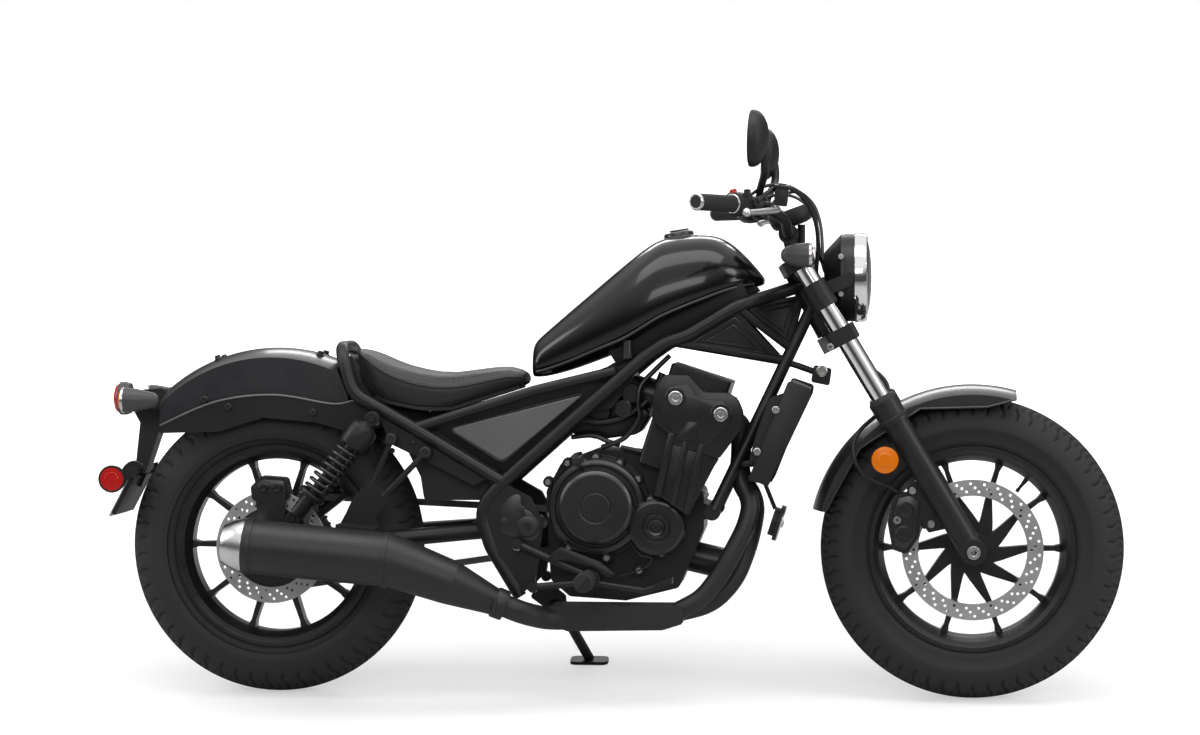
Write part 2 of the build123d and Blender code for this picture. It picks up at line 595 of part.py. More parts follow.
rear_keep = [(-242, 568), (-242, 800), (140, 800), (140, 700), (166, 640), (160, 574), (100, 588), (-16, 598),
             (-112, 568)]
rear_skirt = 180
nodes["rear_fender"] = fender(rear_fender_radius, rear_fender_half_width, rear_skirt, 0, rear_fender_centre_height,
                              rear_keep)
front_keep = [(front_x + 92, front_z + 420), (front_x + 92, front_z + 318), (front_x + 30, front_z + 300),
              (front_x - 110, front_z + 296), (front_x - 236, front_z + 212), (front_x - 310, front_z + 78),
              (front_x - 420, front_z + 92), (front_x - 400, front_z + 420)]
front_fender = fender(front_fender_radius, front_fender_half_width, 300, front_x, front_z, front_keep)
fender_boss_z = 589
leg_inner = fork_spacing / 2 - fork_leg_diameter / 2 - 4
front_fender += pair(drum(fork_x(fender_boss_z), fender_boss_z, 10, front_fender_half_width - 2, leg_inner - fit))
nodes["front_fender"] = front_fender

stay_outline = [(-246, 575), (-119, 630), (8, 645), (135, 625), (190, 632), (262, 604), (262, 586), (212, 566),
                (164, 566), (100, 584), (-16, 594), (-112, 564), (-240, 560)]
stay_inner = rear_fender_half_width + fit
stay_outer = stay_inner + 6
stay = slab(stay_outline, stay_inner, stay_outer)
stay += drum(shock_top_x, shock_top_z, 7, stay_inner, shock_y + 18)
stay += drum(240, 613, 8, stay_outer - 1, 99.2)
nodes["fender_stays"] = pair(stay)

# --- tail ----------------------------------------------------------------------------------------
tail_z = 632
tail_half = 44
tail = slab([(-243, 606), (-243, 656), (-330, 648), (-330, 616)], -tail_half, tail_half, 6)
tail += slab([(-262, 610), (-252, 580), (-290, 470), (-312, 470), (-300, 580), (-318, 612)], -26, 26, 4)
plate_tilt = 28
plate_place = Pos(-329, 0, 429) * Rot(0, plate_tilt, 0)
plate_thickness = 2
tail += plate_place * Pos(6, 0, 0) * Box(8, 170, 92)
tail += rod((-300, 0, 476), tuple((plate_place * Pos(6, 0, 20)).position), 22)
reflector_low, reflector_high = 91, 102
tail += rod((-300, -94, 478), (-300, 94, 478), 12)
tail += pair(slab([(-290, 467), (-290, 489), (-336, 476), (-336, 454)], reflector_low, reflector_low + 7))
tail += pair(drum(-343, 462, 28, reflector_low, reflector_high))
plate = plate_place * Pos(2 - fit - plate_thickness / 2, 0, -4) * Box(plate_thickness, 178, 102)
hole = Rot(0, 90, 0) * Cylinder(plate_bolt_radius, 40)
plate_holes = plate_place * (Pos(0, plate_bolt_spacing / 2, 30) * hole + Pos(0, -plate_bolt_spacing / 2, 30) * hole)
behind_plate = plate_place * Pos(2 - 50, 0, 0) * Box(100, 2 * reflector_low - 2, 140)
nodes["tail_bracket"] = tail - plate_holes - behind_plate
nodes["number_plate"] = plate - plate_holes
signal_y = 118
rear_signal = rod((-240, signal_y, tail_z), (-312, signal_y, tail_z), 54)
rear_signal += rod((-286, tail_half, tail_z), (-286, signal_y, tail_z), 16)
rear_lamps = pair(rear_signal) + rod((-330, 0, tail_z), (-350, 0, tail_z), 30)
nodes["rear_lamps"] = rear_lamps

# --- foot controls ---------------------------------------------------------------------------------
peg_x, peg_z = 689, 258
peg_hanger_inner, peg_hanger_outer = plate_outer + fit, plate_outer + 22
hanger = rod((534, plate_outer + 12, 331), (peg_x, plate_outer + 20, peg_z + 6), 16) \
    + rod((568, plate_outer + 12, 240), (peg_x, plate_outer + 20, peg_z - 6), 16)
for bolt_x, bolt_z in ((534, 331), (568, 240)):
    hanger += drum(bolt_x, bolt_z, 11, peg_hanger_inner, peg_hanger_outer)
hanger += drum(peg_x, peg_z, 22, plate_outer + 10, plate_outer + 34)
hanger += rod((peg_x, plate_outer + 30, peg_z), (peg_x - 4, 270, peg_z + 4), 34)
# The brake pedal is on the right and the gear lever on the left, each on its peg's boss.
pedal = rod((peg_x, -148, peg_z - 6), (806, -176, 238), 13) + rod((806, -176, 238), (846, -190, 252), 13)
pedal += slab([(826, 240), (826, 252), (866, 268), (866, 256)], -214, -170)
gear_lever = rod((peg_x, 148, peg_z - 4), (830, 168, 262), 12) + rod((830, 160, 262), (830, 214, 262), 20)
nodes["foot_pegs"] = pair(hanger) + pedal + gear_lever

# --- side stand --------------------------------------------------------------------------------------
crown_drop = rear_tyre_width / 2 * (1 - cos(radians(lean)))
ground_at_wheel = rear_axle_height - rear_tyre_radius - crown_drop


def ground_height(y):
    """Height of the ground, in the leaning machine's own frame, at a distance to its left."""
    return (ground_at_wheel + y * sin(radians(lean))) / cos(radians(lean))


foot_x, foot_y = 652, 250
stand_axis = Vector(0, 0.9, 0.436).normalized()
foot_normal = Vector(0, -sin(radians(lean)), cos(radians(lean)))
foot_base = Vector(foot_x, foot_y, ground_height(foot_y))
foot_plane = Plane(origin=foot_base, x_dir=(1, 0, 0), z_dir=foot_normal)
stand_pivot = Vector(stand_x, stand_y, stand_z)
boss_half = 12
boss_start = stand_pivot - stand_axis * boss_half
boss_end = stand_pivot + stand_axis * boss_half
stand_reach = (foot_base - stand_pivot).normalized()
stand_root = stand_pivot + (stand_reach - stand_axis * stand_reach.dot(stand_axis)).normalized() * 13
stand = rod(tuple(stand_root), tuple(foot_base + foot_normal * 8), 22)
stand += extrude(foot_plane * RectangleRounded(84, 52, 14), amount=7)
stand += rod(tuple(boss_start), tuple(boss_end), 38)
stand -= extrude(Plane(origin=foot_base - foot_normal * 30, x_dir=(1, 0, 0), z_dir=foot_normal) * Rectangle(300, 300),
                 amount=30)
stand_pin = rod(tuple(boss_start - stand_axis * 16), tuple(boss_end + stand_axis * 6), 12)
stand_hole = rod(tuple(boss_start - stand_axis * 30), tuple(boss_end + stand_axis * 30), 12 + 2 * pin_clearance)
nodes["side_stand"] = stand - stand_hole
lug_block = rod(tuple(boss_start - stand_axis * 22), tuple(boss_start - stand_axis * 1), 34)
pin_head = rod(tuple(boss_end + stand_axis * 1), tuple(boss_end + stand_axis * 7), 15)
frame_cut = nodes["frame"] - rod(tuple(boss_start - stand_axis * 1), tuple(boss_end + stand_axis * 20), 60)
nodes["frame"] = frame_cut + lug_block + stand_pin + pin_head

# --- fork -------------------------------------------------------------------------------------------
leg_top = 634
leg_boss_half = 28


def fork_leg(side):
    axle_point = (front_x, side * fork_spacing / 2, front_z)
    leg = rod(axle_point, fork_point(leg_top, side), fork_leg_diameter)
    leg += rod(fork_point(leg_top - 46, side), fork_point(leg_top, side), fork_leg_diameter + 8)
    low_y, high_y = sorted((side * (fork_spacing / 2 - leg_boss_half), side * (fork_spacing / 2 + leg_boss_half)))
    leg += drum(front_x, front_z, 27, low_y, high_y)
    leg -= rod(fork_point(leg_top - 120, side), fork_point(leg_top + 20, side), fork_tube_diameter + 2 * fit)
    return leg - drum(front_x, front_z, axle_diameter / 2 + fit, -200, 200)


right_leg = fork_leg(RIGHT)
caliper_bolts = [(from_front(126), 446), (from_front(87), 376)]
bracket = [(caliper_bolts[0][0] - 14, 452), (caliper_bolts[0][0] + 4, 466), (fork_x(446), 462), (fork_x(372), 372),
           (caliper_bolts[1][0] - 6, 358), (caliper_bolts[1][0] - 18, 376)]
bracket_high = -fork_spacing / 2 + 24
right_leg += slab(bracket, bracket_high - 12, bracket_high, 5)
nodes["fork_legs"] = right_leg + fork_leg(LEFT)
tubes = [rod(fork_point(leg_top - 118, side), fork_point(944, side), fork_tube_diameter) for side in (RIGHT, LEFT)]
nodes["fork_tubes"] = tubes[0] + tubes[1]


def clamp(height, thickness, forward):
    """Bridge across both fork tubes, square to the steering axis."""
    plane = steering_plane(height)
    half = fork_spacing / 2
    boss = fork_tube_diameter / 2 + 12
    outline = [(-30, -36), (forward - boss, -half - boss + 8), (forward + boss - 4, -half - boss + 6),
               (forward + boss - 6, -half + boss), (forward + 16, -30), (forward + 16, 30),
               (forward + boss - 6, half - boss), (forward + boss - 4, half + boss - 6),
               (forward - boss, half + boss - 8), (-30, 36)]
    body = extrude(plane * make_face(FilletPolyline(*outline, radius=8, close=True)), amount=thickness)
    for side in (RIGHT, LEFT):
        body -= rod(fork_point(height - 60, side), fork_point(height + 90, side), fork_tube_diameter + 2 * fit)
    return body


low_clamp_height = head_low - (low_clamp_thickness + 1) * cos(radians(rake))
high_clamp_height = head_high + 1 * cos(radians(rake))
low_offset = (fork_x(low_clamp_height + 16) - steering_x(low_clamp_height + 16)) * cos(radians(rake))
high_offset = (fork_x(high_clamp_height + 14) - steering_x(high_clamp_height + 14)) * cos(radians(rake))
low_clamp = clamp(low_clamp_height, low_clamp_thickness, low_offset)
stem_length = (high_clamp_height - low_clamp_height) / cos(radians(rake)) + high_clamp_thickness - 4
low_clamp += extrude(steering_plane(low_clamp_height) * Circle(stem_diameter / 2), amount=stem_length)
nodes["lower_clamp"] = low_clamp
high_clamp = clamp(high_clamp_height, high_clamp_thickness, high_offset)
high_clamp -= extrude(steering_plane(high_clamp_height - 30) * Circle(stem_diameter / 2 + fit), amount=120)
riser_y = 52
bar_x, bar_z = steering_x(985) + 26, 985
high_clamp_top = steering_plane(high_clamp_height).offset(high_clamp_thickness)
for side in (RIGHT, LEFT):
    foot_of_riser = high_clamp_top.from_local_coords((8, side * riser_y, -8))
    high_clamp += rod(tuple(foot_of_riser), (bar_x, side * riser_y, bar_z), 30)
    high_clamp += drum(bar_x, bar_z, 21, side * riser_y - 14, side * riser_y + 14)
high_clamp -= drum(bar_x, bar_z, handlebar_diameter / 2 + fit, -100, 100)
nodes["upper_clamp"] = high_clamp

bar_bend = (from_front(438), 216, 1040)
bar_end = (from_front(564), handlebar_half_width, 1042)
bar_points = [(bar_x, 90, bar_z), (bar_x - 4, 150, bar_z + 28), bar_bend, bar_end]
bar_mirrored = [(x, -y, z) for x, y, z in reversed(bar_points)]
nodes["handlebar"] = bent_tube(bar_mirrored + bar_points, handlebar_diameter, 70)
bar_direction = (Vector(*bar_end) - Vector(*bar_bend)).normalized()


def on_bar(distance_from_end):
    return Vector(*bar_end) - bar_direction * distance_from_end


def bar_sleeve(from_end, to_end, outer):
    return rod(tuple(on_bar(from_end)), tuple(on_bar(to_end)), outer) \
        - rod(tuple(on_bar(from_end - 5)), tuple(on_bar(to_end + 5)), handlebar_diameter + 2 * fit)


grip = bar_sleeve(4, 124, 34)
switch = bar_sleeve(124, 176, 46)
lever = bent_tube([tuple(on_bar(150) + Vector(30, 6, 2)), tuple(on_bar(120) + Vector(56, 10, 2)),
                   tuple(on_bar(20) + Vector(62, 0, -4))], 12, 60)
lever_block = rod(tuple(on_bar(150) + Vector(11, 8, 0)), tuple(on_bar(150) + Vector(36, 12, 4)), 22)
bar_room = rod(tuple(on_bar(180)), tuple(on_bar(100)), handlebar_diameter + 2 * fit)
controls = grip + switch + lever + (lever_block - bar_room)
nodes["grips_and_controls"] = pair(controls)
stem_foot = on_bar(150) + Vector(12, 10, 16)
mirror_centre = Vector(from_front(447), 336, 1172)
stem_points = [tuple(stem_foot), (from_front(438), 300, 1086), (from_front(432), 318, 1112),
               (from_front(440), 330, 1150)]
mirror_stem = bent_tube(stem_points, 10, 40)
mirror_shell = Pos(*mirror_centre) * Rot(0, -8, 0) * Rot(0, 0, 14) * (Rot(0, 90, 0) * Cylinder(60, 22))
nodes["mirrors"] = pair(mirror_shell + mirror_stem - controls)

# --- lamp, dial, signals -----------------------------------------------------------------------------
lamp_x, lamp_z = from_front(232), 893
bowl_x = lamp_x - 45
lamp = rod((bowl_x, 0, lamp_z), (lamp_x, 0, lamp_z), headlight_diameter) \
    + loft([Plane(origin=(bowl_x, 0, lamp_z), z_dir=(-1, 0, 0)) * Circle(headlight_diameter / 2),
            Plane(origin=(bowl_x - 31, 0, lamp_z + 12), z_dir=(-1, 0, 0)) * Circle(46)])
lamp_ring = rod((lamp_x + fit, 0, lamp_z), (lamp_x + 12, 0, lamp_z), headlight_diameter + 2)
nodes["headlight_glass"] = lamp_ring

# The lamp hangs from ears on both fork tubes.
ear_low, ear_high = 830, 880
ear_outer = fork_tube_diameter + 14
ears = None
for side in (RIGHT, LEFT):
    sleeve = rod(fork_point(ear_low, side), fork_point(ear_high, side), ear_outer) \
        - rod(fork_point(ear_low - 10, side), fork_point(ear_high + 10, side), fork_tube_diameter + 2 * fit)
    reach_y = headlight_diameter / 2
    y_low, y_high = sorted((side * (reach_y - 4), side * (reach_y + 8)))
    ear_outline = [(fork_x(870), 842), (fork_x(870), 874), (lamp_x - 20, lamp_z + 14), (lamp_x - 20, lamp_z - 16)]
    tube_room = rod(fork_point(ear_low - 40, side), fork_point(ear_high + 40, side), fork_tube_diameter + 2 * fit)
    ear = sleeve + (slab(ear_outline, y_low, y_high, 5) - tube_room)
    ears = ear if ears is None else ears + ear
nodes["headlight"] = lamp + ears
# The dial sits just above the handlebar on a post that passes ahead of it.
dial_axis = Vector(-0.35, 0, 0.937).normalized()
dial_base = Vector(bar_x + 10, 0, bar_z + handlebar_diameter / 2 + 10)
dial = rod(tuple(dial_base), tuple(dial_base + dial_axis * 30), 92)
post_x = bar_x + handlebar_diameter / 2 + 15
dial += rod((post_x, 0, 934), (post_x, 0, dial_base.Z + 8), 16)
nodes["dial"] = dial - high_clamp
front_signal_y = 190
signal_height = 938
signal_front = from_front(340)
signal_root = (signal_front - 26, fork_spacing / 2 + fork_tube_diameter / 2 + 4.5, signal_height - 20)
signal_middle = (signal_front - 30, front_signal_y, signal_height)
signal_back = (signal_front - 62, front_signal_y, signal_height)
front_signals = rod(signal_back, (signal_front, front_signal_y, signal_height), 52)
signal_stalk = rod(signal_root, signal_middle, 14)
nodes["front_signals"] = pair(front_signals + (signal_stalk - high_clamp))

# --- front axle and brake -----------------------------------------------------------------------------
front_axle = drum(front_x, front_z, axle_diameter / 2, -fork_spacing / 2 - 30, fork_spacing / 2 + 30)
front_axle += pair(drum(front_x, front_z, 14, fork_spacing / 2 + leg_boss_half + fit, fork_spacing / 2 + 36))
front_axle += pair(drum(front_x, front_z, 14, front_hub_half + 1, fork_spacing / 2 - leg_boss_half - fit))
nodes["front_axle"] = front_axle - drum(front_x, front_z, axle_bore / 2, -200, 200)

# (distance behind the axle, z)
caliper_outline = [(164, 436), (126, 444), (104, 424), (112, 350), (138, 312), (168, 322), (178, 376)]
caliper_low, caliper_high = front_disc_y - 30, front_disc_y + 20
caliper = slab([(from_front(back), z) for back, z in caliper_outline], caliper_low, caliper_high, 10)
caliper += slab([(caliper_bolts[0][0] - 14, 440), (caliper_bolts[0][0], 462), (caliper_bolts[1][0] + 6, 380),
                 (caliper_bolts[1][0] - 16, 362)], bracket_high + fit, bracket_high + 9, 5)
slot_low, slot_high = front_disc_y - slot_half, front_disc_y + slot_half
caliper -= drum(front_x, front_z, front_disc_diameter / 2 + disc_play, slot_low, slot_high)
# The disc's lugs pass behind the disc, inside the caliper's inner half.
caliper -= drum(front_x, front_z, disc_seat_radius + lug_radius + disc_play, front_disc_y, caliper_high + 1)
caliper -= right_leg
nodes["front_caliper"] = caliper

rear_caliper_outline = [(-40, 416), (-44, 446), (-20, 470), (34, 466), (44, 424), (28, 416)]
rear_caliper = slab(rear_caliper_outline, rear_disc_y - 12, rear_disc_y + 22, 10)
rear_bracket = [(-20, rear_z + 16), (-34, 440), (34, 440), (30, rear_z + 16)]
rear_caliper += slab(rear_bracket, -arm_inner + fit, -arm_inner + 8, 5)
rear_caliper -= drum(0, rear_z, rear_disc_diameter / 2 + disc_play, rear_disc_y - slot_half, rear_disc_y + slot_half)
nodes["rear_caliper"] = rear_caliper

# --- brake hose and control cables, all held on the steered parts ---------------------------------------
hose_diameter, cable_diameter = 9, 7
# Each point: (distance behind the front axle, y, z)
hose_routes = [
    [(446, -282, 1046), (416, -256, 1074), (378, -216, 1078), (344, -168, 1048), (326, -122, 1002),
     (324, -84, 952), (330, -62, 902), (326, -58, 852), (308, -58, 810), (282, -58, 776)],
    [(254, -56, 732), (228, -52, 706), (198, -54, 692), (179, -59, 670), (175, -65, 642), (187, -72, 616),
     (211, -82, 595), (236, -98, 574), (252, -110, 546), (250, -116, 514), (234, -114, 484),
     (204, -106, 464), (172, -97, 454), (152, -92, 438)],
]
cable_routes = [
    [(466, -256, 1056), (432, -228, 1082), (386, -192, 1084), (346, -152, 1060), (328, -112, 1020),
     (326, -74, 972), (324, -44, 934), (302, -26, 914)],
    [(466, 256, 1056), (432, 228, 1078), (386, 192, 1076), (348, 152, 1050), (330, 112, 1010), (326, 74, 964),
     (322, 44, 928), (301, 24, 900)],
    [(446, 282, 1046), (412, 252, 1080), (370, 208, 1086), (336, 164, 1054), (322, 120, 1008), (318, 84, 960),
     (318, 60, 914), (298, 38, 882)],
]


def held_cord(route, diameter):
    points = [(from_front(back), y, z) for back, y, z in route]
    radii = arc_radii(points, 1000)
    tube = bent_tube(points, diameter)
    path = FilletPolyline(*points, radius=radii)
    print("cord length", round(path.length), "radii", [round(radius) for radius in radii],
          "volume over section times length", round(tube.volume / (pi * diameter ** 2 / 4 * path.length), 4))
    return tube


# Each end is cut off flush with the piece that it goes into.
hose = held_cord(hose_routes[0], hose_diameter) - pair(controls) - low_clamp
nodes["brake_hose"] = hose + (held_cord(hose_routes[1], hose_diameter) - low_clamp - caliper)
cables = [held_cord(route, cable_diameter) - pair(controls) - nodes["headlight"] for route in cable_routes]
nodes["control_cables"] = cables[0] + cables[1] + cables[2]

# --- park the machine on its stand ----------------------------------------------------------------------
front_low = front_axle_height - front_tyre_radius - front_tyre_width / 2 * (1 - cos(radians(lean)))
pitch = degrees(atan2(front_low - ground_at_wheel, wheelbase))
leaned = Rot(0, pitch, 0) * Rot(-lean, 0, 0)
boxes = [(leaned * shape).bounding_box() for shape in nodes.values()]
low_corner = [min(getattr(box.min, axis) for box in boxes) for axis in "XYZ"]
high_corner = [max(getattr(box.max, axis) for box in boxes) for axis in "XYZ"]
to_origin = Pos(-(low_corner[0] + high_corner[0]) / 2, -(low_corner[1] + high_corner[1]) / 2, -low_corner[2])
parked = to_origin * leaned

for name, shape in nodes.items():
    export_step(parked * shape, "parts/" + name + ".step")

print("size mm:", [round(high - low, 1) for low, high in zip(low_corner, high_corner)])
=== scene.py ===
# %% [markdown]
# # Dressing a cruiser motorcycle
#
# The imported CAD model gives every piece its size, place and motion. This notebook adds what the eye needs
# on top: paint, rubber, drilled discs, tread, a sewn seat, bolts and lamps. It starts by loading the model.

import json
import math

import bmesh
import bpy
import numpy
from mathutils import Matrix, Vector
from mathutils.bvhtree import BVHTree


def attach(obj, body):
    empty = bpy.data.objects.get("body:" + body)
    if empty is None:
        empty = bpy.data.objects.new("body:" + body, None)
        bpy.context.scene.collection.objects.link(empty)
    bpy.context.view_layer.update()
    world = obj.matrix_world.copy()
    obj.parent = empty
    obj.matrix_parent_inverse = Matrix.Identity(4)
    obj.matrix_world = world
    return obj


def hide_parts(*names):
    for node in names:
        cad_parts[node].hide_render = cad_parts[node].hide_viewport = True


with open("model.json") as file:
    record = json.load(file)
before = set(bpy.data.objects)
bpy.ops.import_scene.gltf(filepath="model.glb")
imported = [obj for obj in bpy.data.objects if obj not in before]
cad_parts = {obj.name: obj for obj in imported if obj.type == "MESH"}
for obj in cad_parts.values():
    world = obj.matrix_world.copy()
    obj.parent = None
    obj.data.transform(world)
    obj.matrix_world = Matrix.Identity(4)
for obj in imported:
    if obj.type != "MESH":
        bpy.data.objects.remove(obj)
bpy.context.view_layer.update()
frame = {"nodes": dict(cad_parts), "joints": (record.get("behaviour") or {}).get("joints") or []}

# %% [markdown]
# The machine leans on its stand, so its own upright axes are tilted from the world's. A designer
# measures a motorcycle upright: X forward from the rear axle, Y to the rider's left, Z up from the
# ground line. One matrix, taken from the rear wheel's joint, carries such upright millimetres to
# the leaning model, so every table below can be read off a plain side view.

# %% Upright millimetres to the leaning model
joints = {joint["name"]: joint for joint in frame["joints"]}
REAR_AXLE_HEIGHT = 317
rear_pivot = Vector(joints["rear_wheel_spin"]["pos_m"])
across = Vector(joints["rear_wheel_spin"]["axis"])
lean = math.atan2(-across.z, across.y)
PARKED = Matrix.Translation(rear_pivot) @ Matrix.Rotation(-lean, 4, "X") \
    @ Matrix.Translation((0, 0, -REAR_AXLE_HEIGHT / 1000)) @ Matrix.Diagonal((0.001, 0.001, 0.001, 1))


def at(x, y, z):
    """A place in upright millimetres, in the model's metres."""
    return PARKED @ Vector((x, y, z))


WHEELBASE, FRONT_AXLE_HEIGHT = 1490, 320
FORK_ANGLE, RAKE = math.radians(31), math.radians(28)


def fork_x(height):
    """How far forward the middle of the fork is at a height."""
    return WHEELBASE - math.tan(FORK_ANGLE) * (height - FRONT_AXLE_HEIGHT)


front_axle = at(WHEELBASE, 0, FRONT_AXLE_HEIGHT)
print("lean in degrees:", round(math.degrees(lean), 2), "front axle at", [round(c, 3) for c in front_axle])

# %% [markdown]
# ## Camera, floor and light
#
# A product picture of a motorcycle is taken from far away with a long lens, square to its right
# side and a little ahead of it. The camera is placed in the upright axes and carried over with the
# same matrix, so that the leaning machine still shows its side squarely.

# %% Camera
camera_data = bpy.data.cameras.new("camera")
camera = bpy.data.objects.new("camera", camera_data)
bpy.context.collection.objects.link(camera)
bpy.context.scene.camera = camera
eye, target = Vector((1283, -6600, 835)), Vector((697.5, 0, 700.7))
view_direction = (target - eye).normalized()
turn = view_direction.to_track_quat("-Z", "Y").to_matrix().to_4x4()
camera.matrix_world = Matrix.Translation(PARKED @ eye) @ Matrix.Rotation(-lean, 4, "X") @ turn
camera_data.lens = 92.7
camera_data.clip_end = 60
print("camera height in metres:", round(camera.matrix_world.translation.z, 2))

# %% [markdown]
# The white surround is the world as the camera sees it, directly or through glass. Reflections see
# the same white overhead, dimmer towards the horizon as in a studio whose walls stay unlit, which
# gives black paint and chrome their dark bands. The lamps are large and soft.

# %% Nodes in one line each
def wire(tree, kind, **sockets):
    """Adds a node; values given by socket name are set, and sockets given are linked."""
    node = tree.nodes.new(kind)
    for name, value in sockets.items():
        if name.startswith("_"):
            setattr(node, name[1:], value)
            continue
        numbered = name[0] == "i" and name[1:].isdigit()
        socket = node.inputs[int(name[1:]) if numbered else name.replace("__", " ")]
        if isinstance(value, bpy.types.NodeSocket):
            tree.links.new(value, socket)
        else:
            socket.default_value = value
    return node


def maths(tree, operation, first, second=0.0):
    return wire(tree, "ShaderNodeMath", _operation=operation, i0=first, i1=second).outputs[0]


print("node helpers ready")

# %% World
scene = bpy.context.scene
scene.view_settings.view_transform = "Standard"
world = bpy.data.worlds.new("studio")
scene.world = world
world.use_nodes = True
sky = world.node_tree
sky.nodes.clear()

DIFFUSE_SKY = 0.42
path = wire(sky, "ShaderNodeLightPath")
direction = wire(sky, "ShaderNodeTexCoord").outputs["Generated"]
height = wire(sky, "ShaderNodeSeparateXYZ", i0=direction).outputs["Z"]
overhead = wire(sky, "ShaderNodeMapRange", Value=height, i1=0.16, i2=0.66, i3=0.07, i4=1.0)
overhead.interpolation_type = "SMOOTHSTEP"
seen = maths(sky, "MAXIMUM", path.outputs["Is Camera Ray"], path.outputs["Is Transmission Ray"])
glossy = maths(sky, "MULTIPLY", path.outputs["Is Glossy Ray"], overhead.outputs[0])
direct = maths(sky, "MAXIMUM", seen, glossy)
other = maths(sky, "SUBTRACT", 1.0, maths(sky, "MAXIMUM", seen, path.outputs["Is Glossy Ray"]))
strength = maths(sky, "ADD", direct, maths(sky, "MULTIPLY", other, DIFFUSE_SKY))
background = wire(sky, "ShaderNodeBackground", Color=(1, 1, 1, 1), Strength=strength)
wire(sky, "ShaderNodeOutputWorld", Surface=background.outputs[0])
print("sky:", len(sky.nodes), "nodes, share for diffuse light", DIFFUSE_SKY)

# %% Lamps
# name, place and size in the model's metres, power in watts, colour
LAMPS = [
    ("top_softbox", (0.0, -0.4, 3.6), (4.6, 1.6), 70, (1, 1, 1)),
    ("right_softbox", (0.3, -4.2, 2.9), (3.6, 0.9), 44, (1, 0.99, 0.98)),
    ("front_softbox", (3.6, -1.2, 1.9), (0.9, 2.2), 34, (1, 1, 1)),
    ("rear_softbox", (-3.6, -0.6, 2.0), (0.9, 2.2), 30, (0.98, 0.99, 1)),
    ("left_softbox", (0.0, 4.2, 2.6), (3.6, 0.9), 52, (1, 1, 1)),
]
for name, place, (wide, high), power, colour in LAMPS:
    lamp = bpy.data.lights.new(name, "AREA")
    lamp.shape, lamp.size, lamp.size_y, lamp.energy, lamp.color = "RECTANGLE", wide, high, power, colour
    holder = bpy.data.objects.new(name, lamp)
    bpy.context.collection.objects.link(holder)
    aim = (Vector((0, 0, 0.5)) - Vector(place)).normalized()
    holder.matrix_world = Matrix.Translation(place) @ aim.to_track_quat("-Z", "Y").to_matrix().to_4x4()
    holder.visible_camera = False
print("lamps:", len(LAMPS), "power in watts:", sum(row[3] for row in LAMPS))

# %% Floor
FLOOR_GLOW = 0.5
floor_material = bpy.data.materials.new("studio_floor")
floor_material.use_nodes = True
sheet_tree = floor_material.node_tree
sheet_tree.nodes.clear()
floor_path = wire(sheet_tree, "ShaderNodeLightPath")
floor_noise = wire(sheet_tree, "ShaderNodeTexNoise", Scale=3.0, Detail=2.0)
floor_tone = wire(sheet_tree, "ShaderNodeMapRange", Value=floor_noise.outputs[0], i3=0.60, i4=0.62)
grey = floor_tone.outputs[0]
floor_colour = wire(sheet_tree, "ShaderNodeCombineColor", i0=grey, i1=grey, i2=grey).outputs[0]
matt = wire(sheet_tree, "ShaderNodeBsdfDiffuse", Color=floor_colour)
floor_place = wire(sheet_tree, "ShaderNodeTexCoord").outputs["Object"]
away = wire(sheet_tree, "ShaderNodeVectorMath", _operation="LENGTH", i0=floor_place).outputs["Value"]
fade = wire(sheet_tree, "ShaderNodeMapRange", Value=away, i1=1.2, i2=4.0, i3=FLOOR_GLOW, i4=1.2)
glow_share = maths(sheet_tree, "MULTIPLY", fade.outputs[0], maths(
    sheet_tree, "MAXIMUM", floor_path.outputs["Is Camera Ray"], floor_path.outputs["Is Transmission Ray"]))
glow = wire(sheet_tree, "ShaderNodeEmission", Color=(1, 1, 1, 1), Strength=glow_share)
both = wire(sheet_tree, "ShaderNodeAddShader", i0=matt.outputs[0], i1=glow.outputs[0])
wire(sheet_tree, "ShaderNodeOutputMaterial", Surface=both.outputs[0])
FLOOR_SIZE = 40
bpy.ops.mesh.primitive_plane_add(size=FLOOR_SIZE)
floor = bpy.context.object
floor.name = "floor"
floor.data.materials.append(floor_material)
print("floor:", FLOOR_SIZE, "m square, glow", FLOOR_GLOW)

# %% [markdown]
# ## Finishes
#
# Almost everything is black, so the finishes differ in how they scatter light rather than in
# colour: clear lacquer over black, satin powder coat, matt heat-proof paint, moulded plastic, raw
# castings, rubber. Each finish is a Principled shader fed by a broad and a fine noise. Together
# they vary the colour and the roughness, and the fine one alone is bump at the real grain's scale.
# In most finishes a Bevel node rounds edges by about a millimetre so that they catch the light.

# %% A recipe for finishes
materials = {}


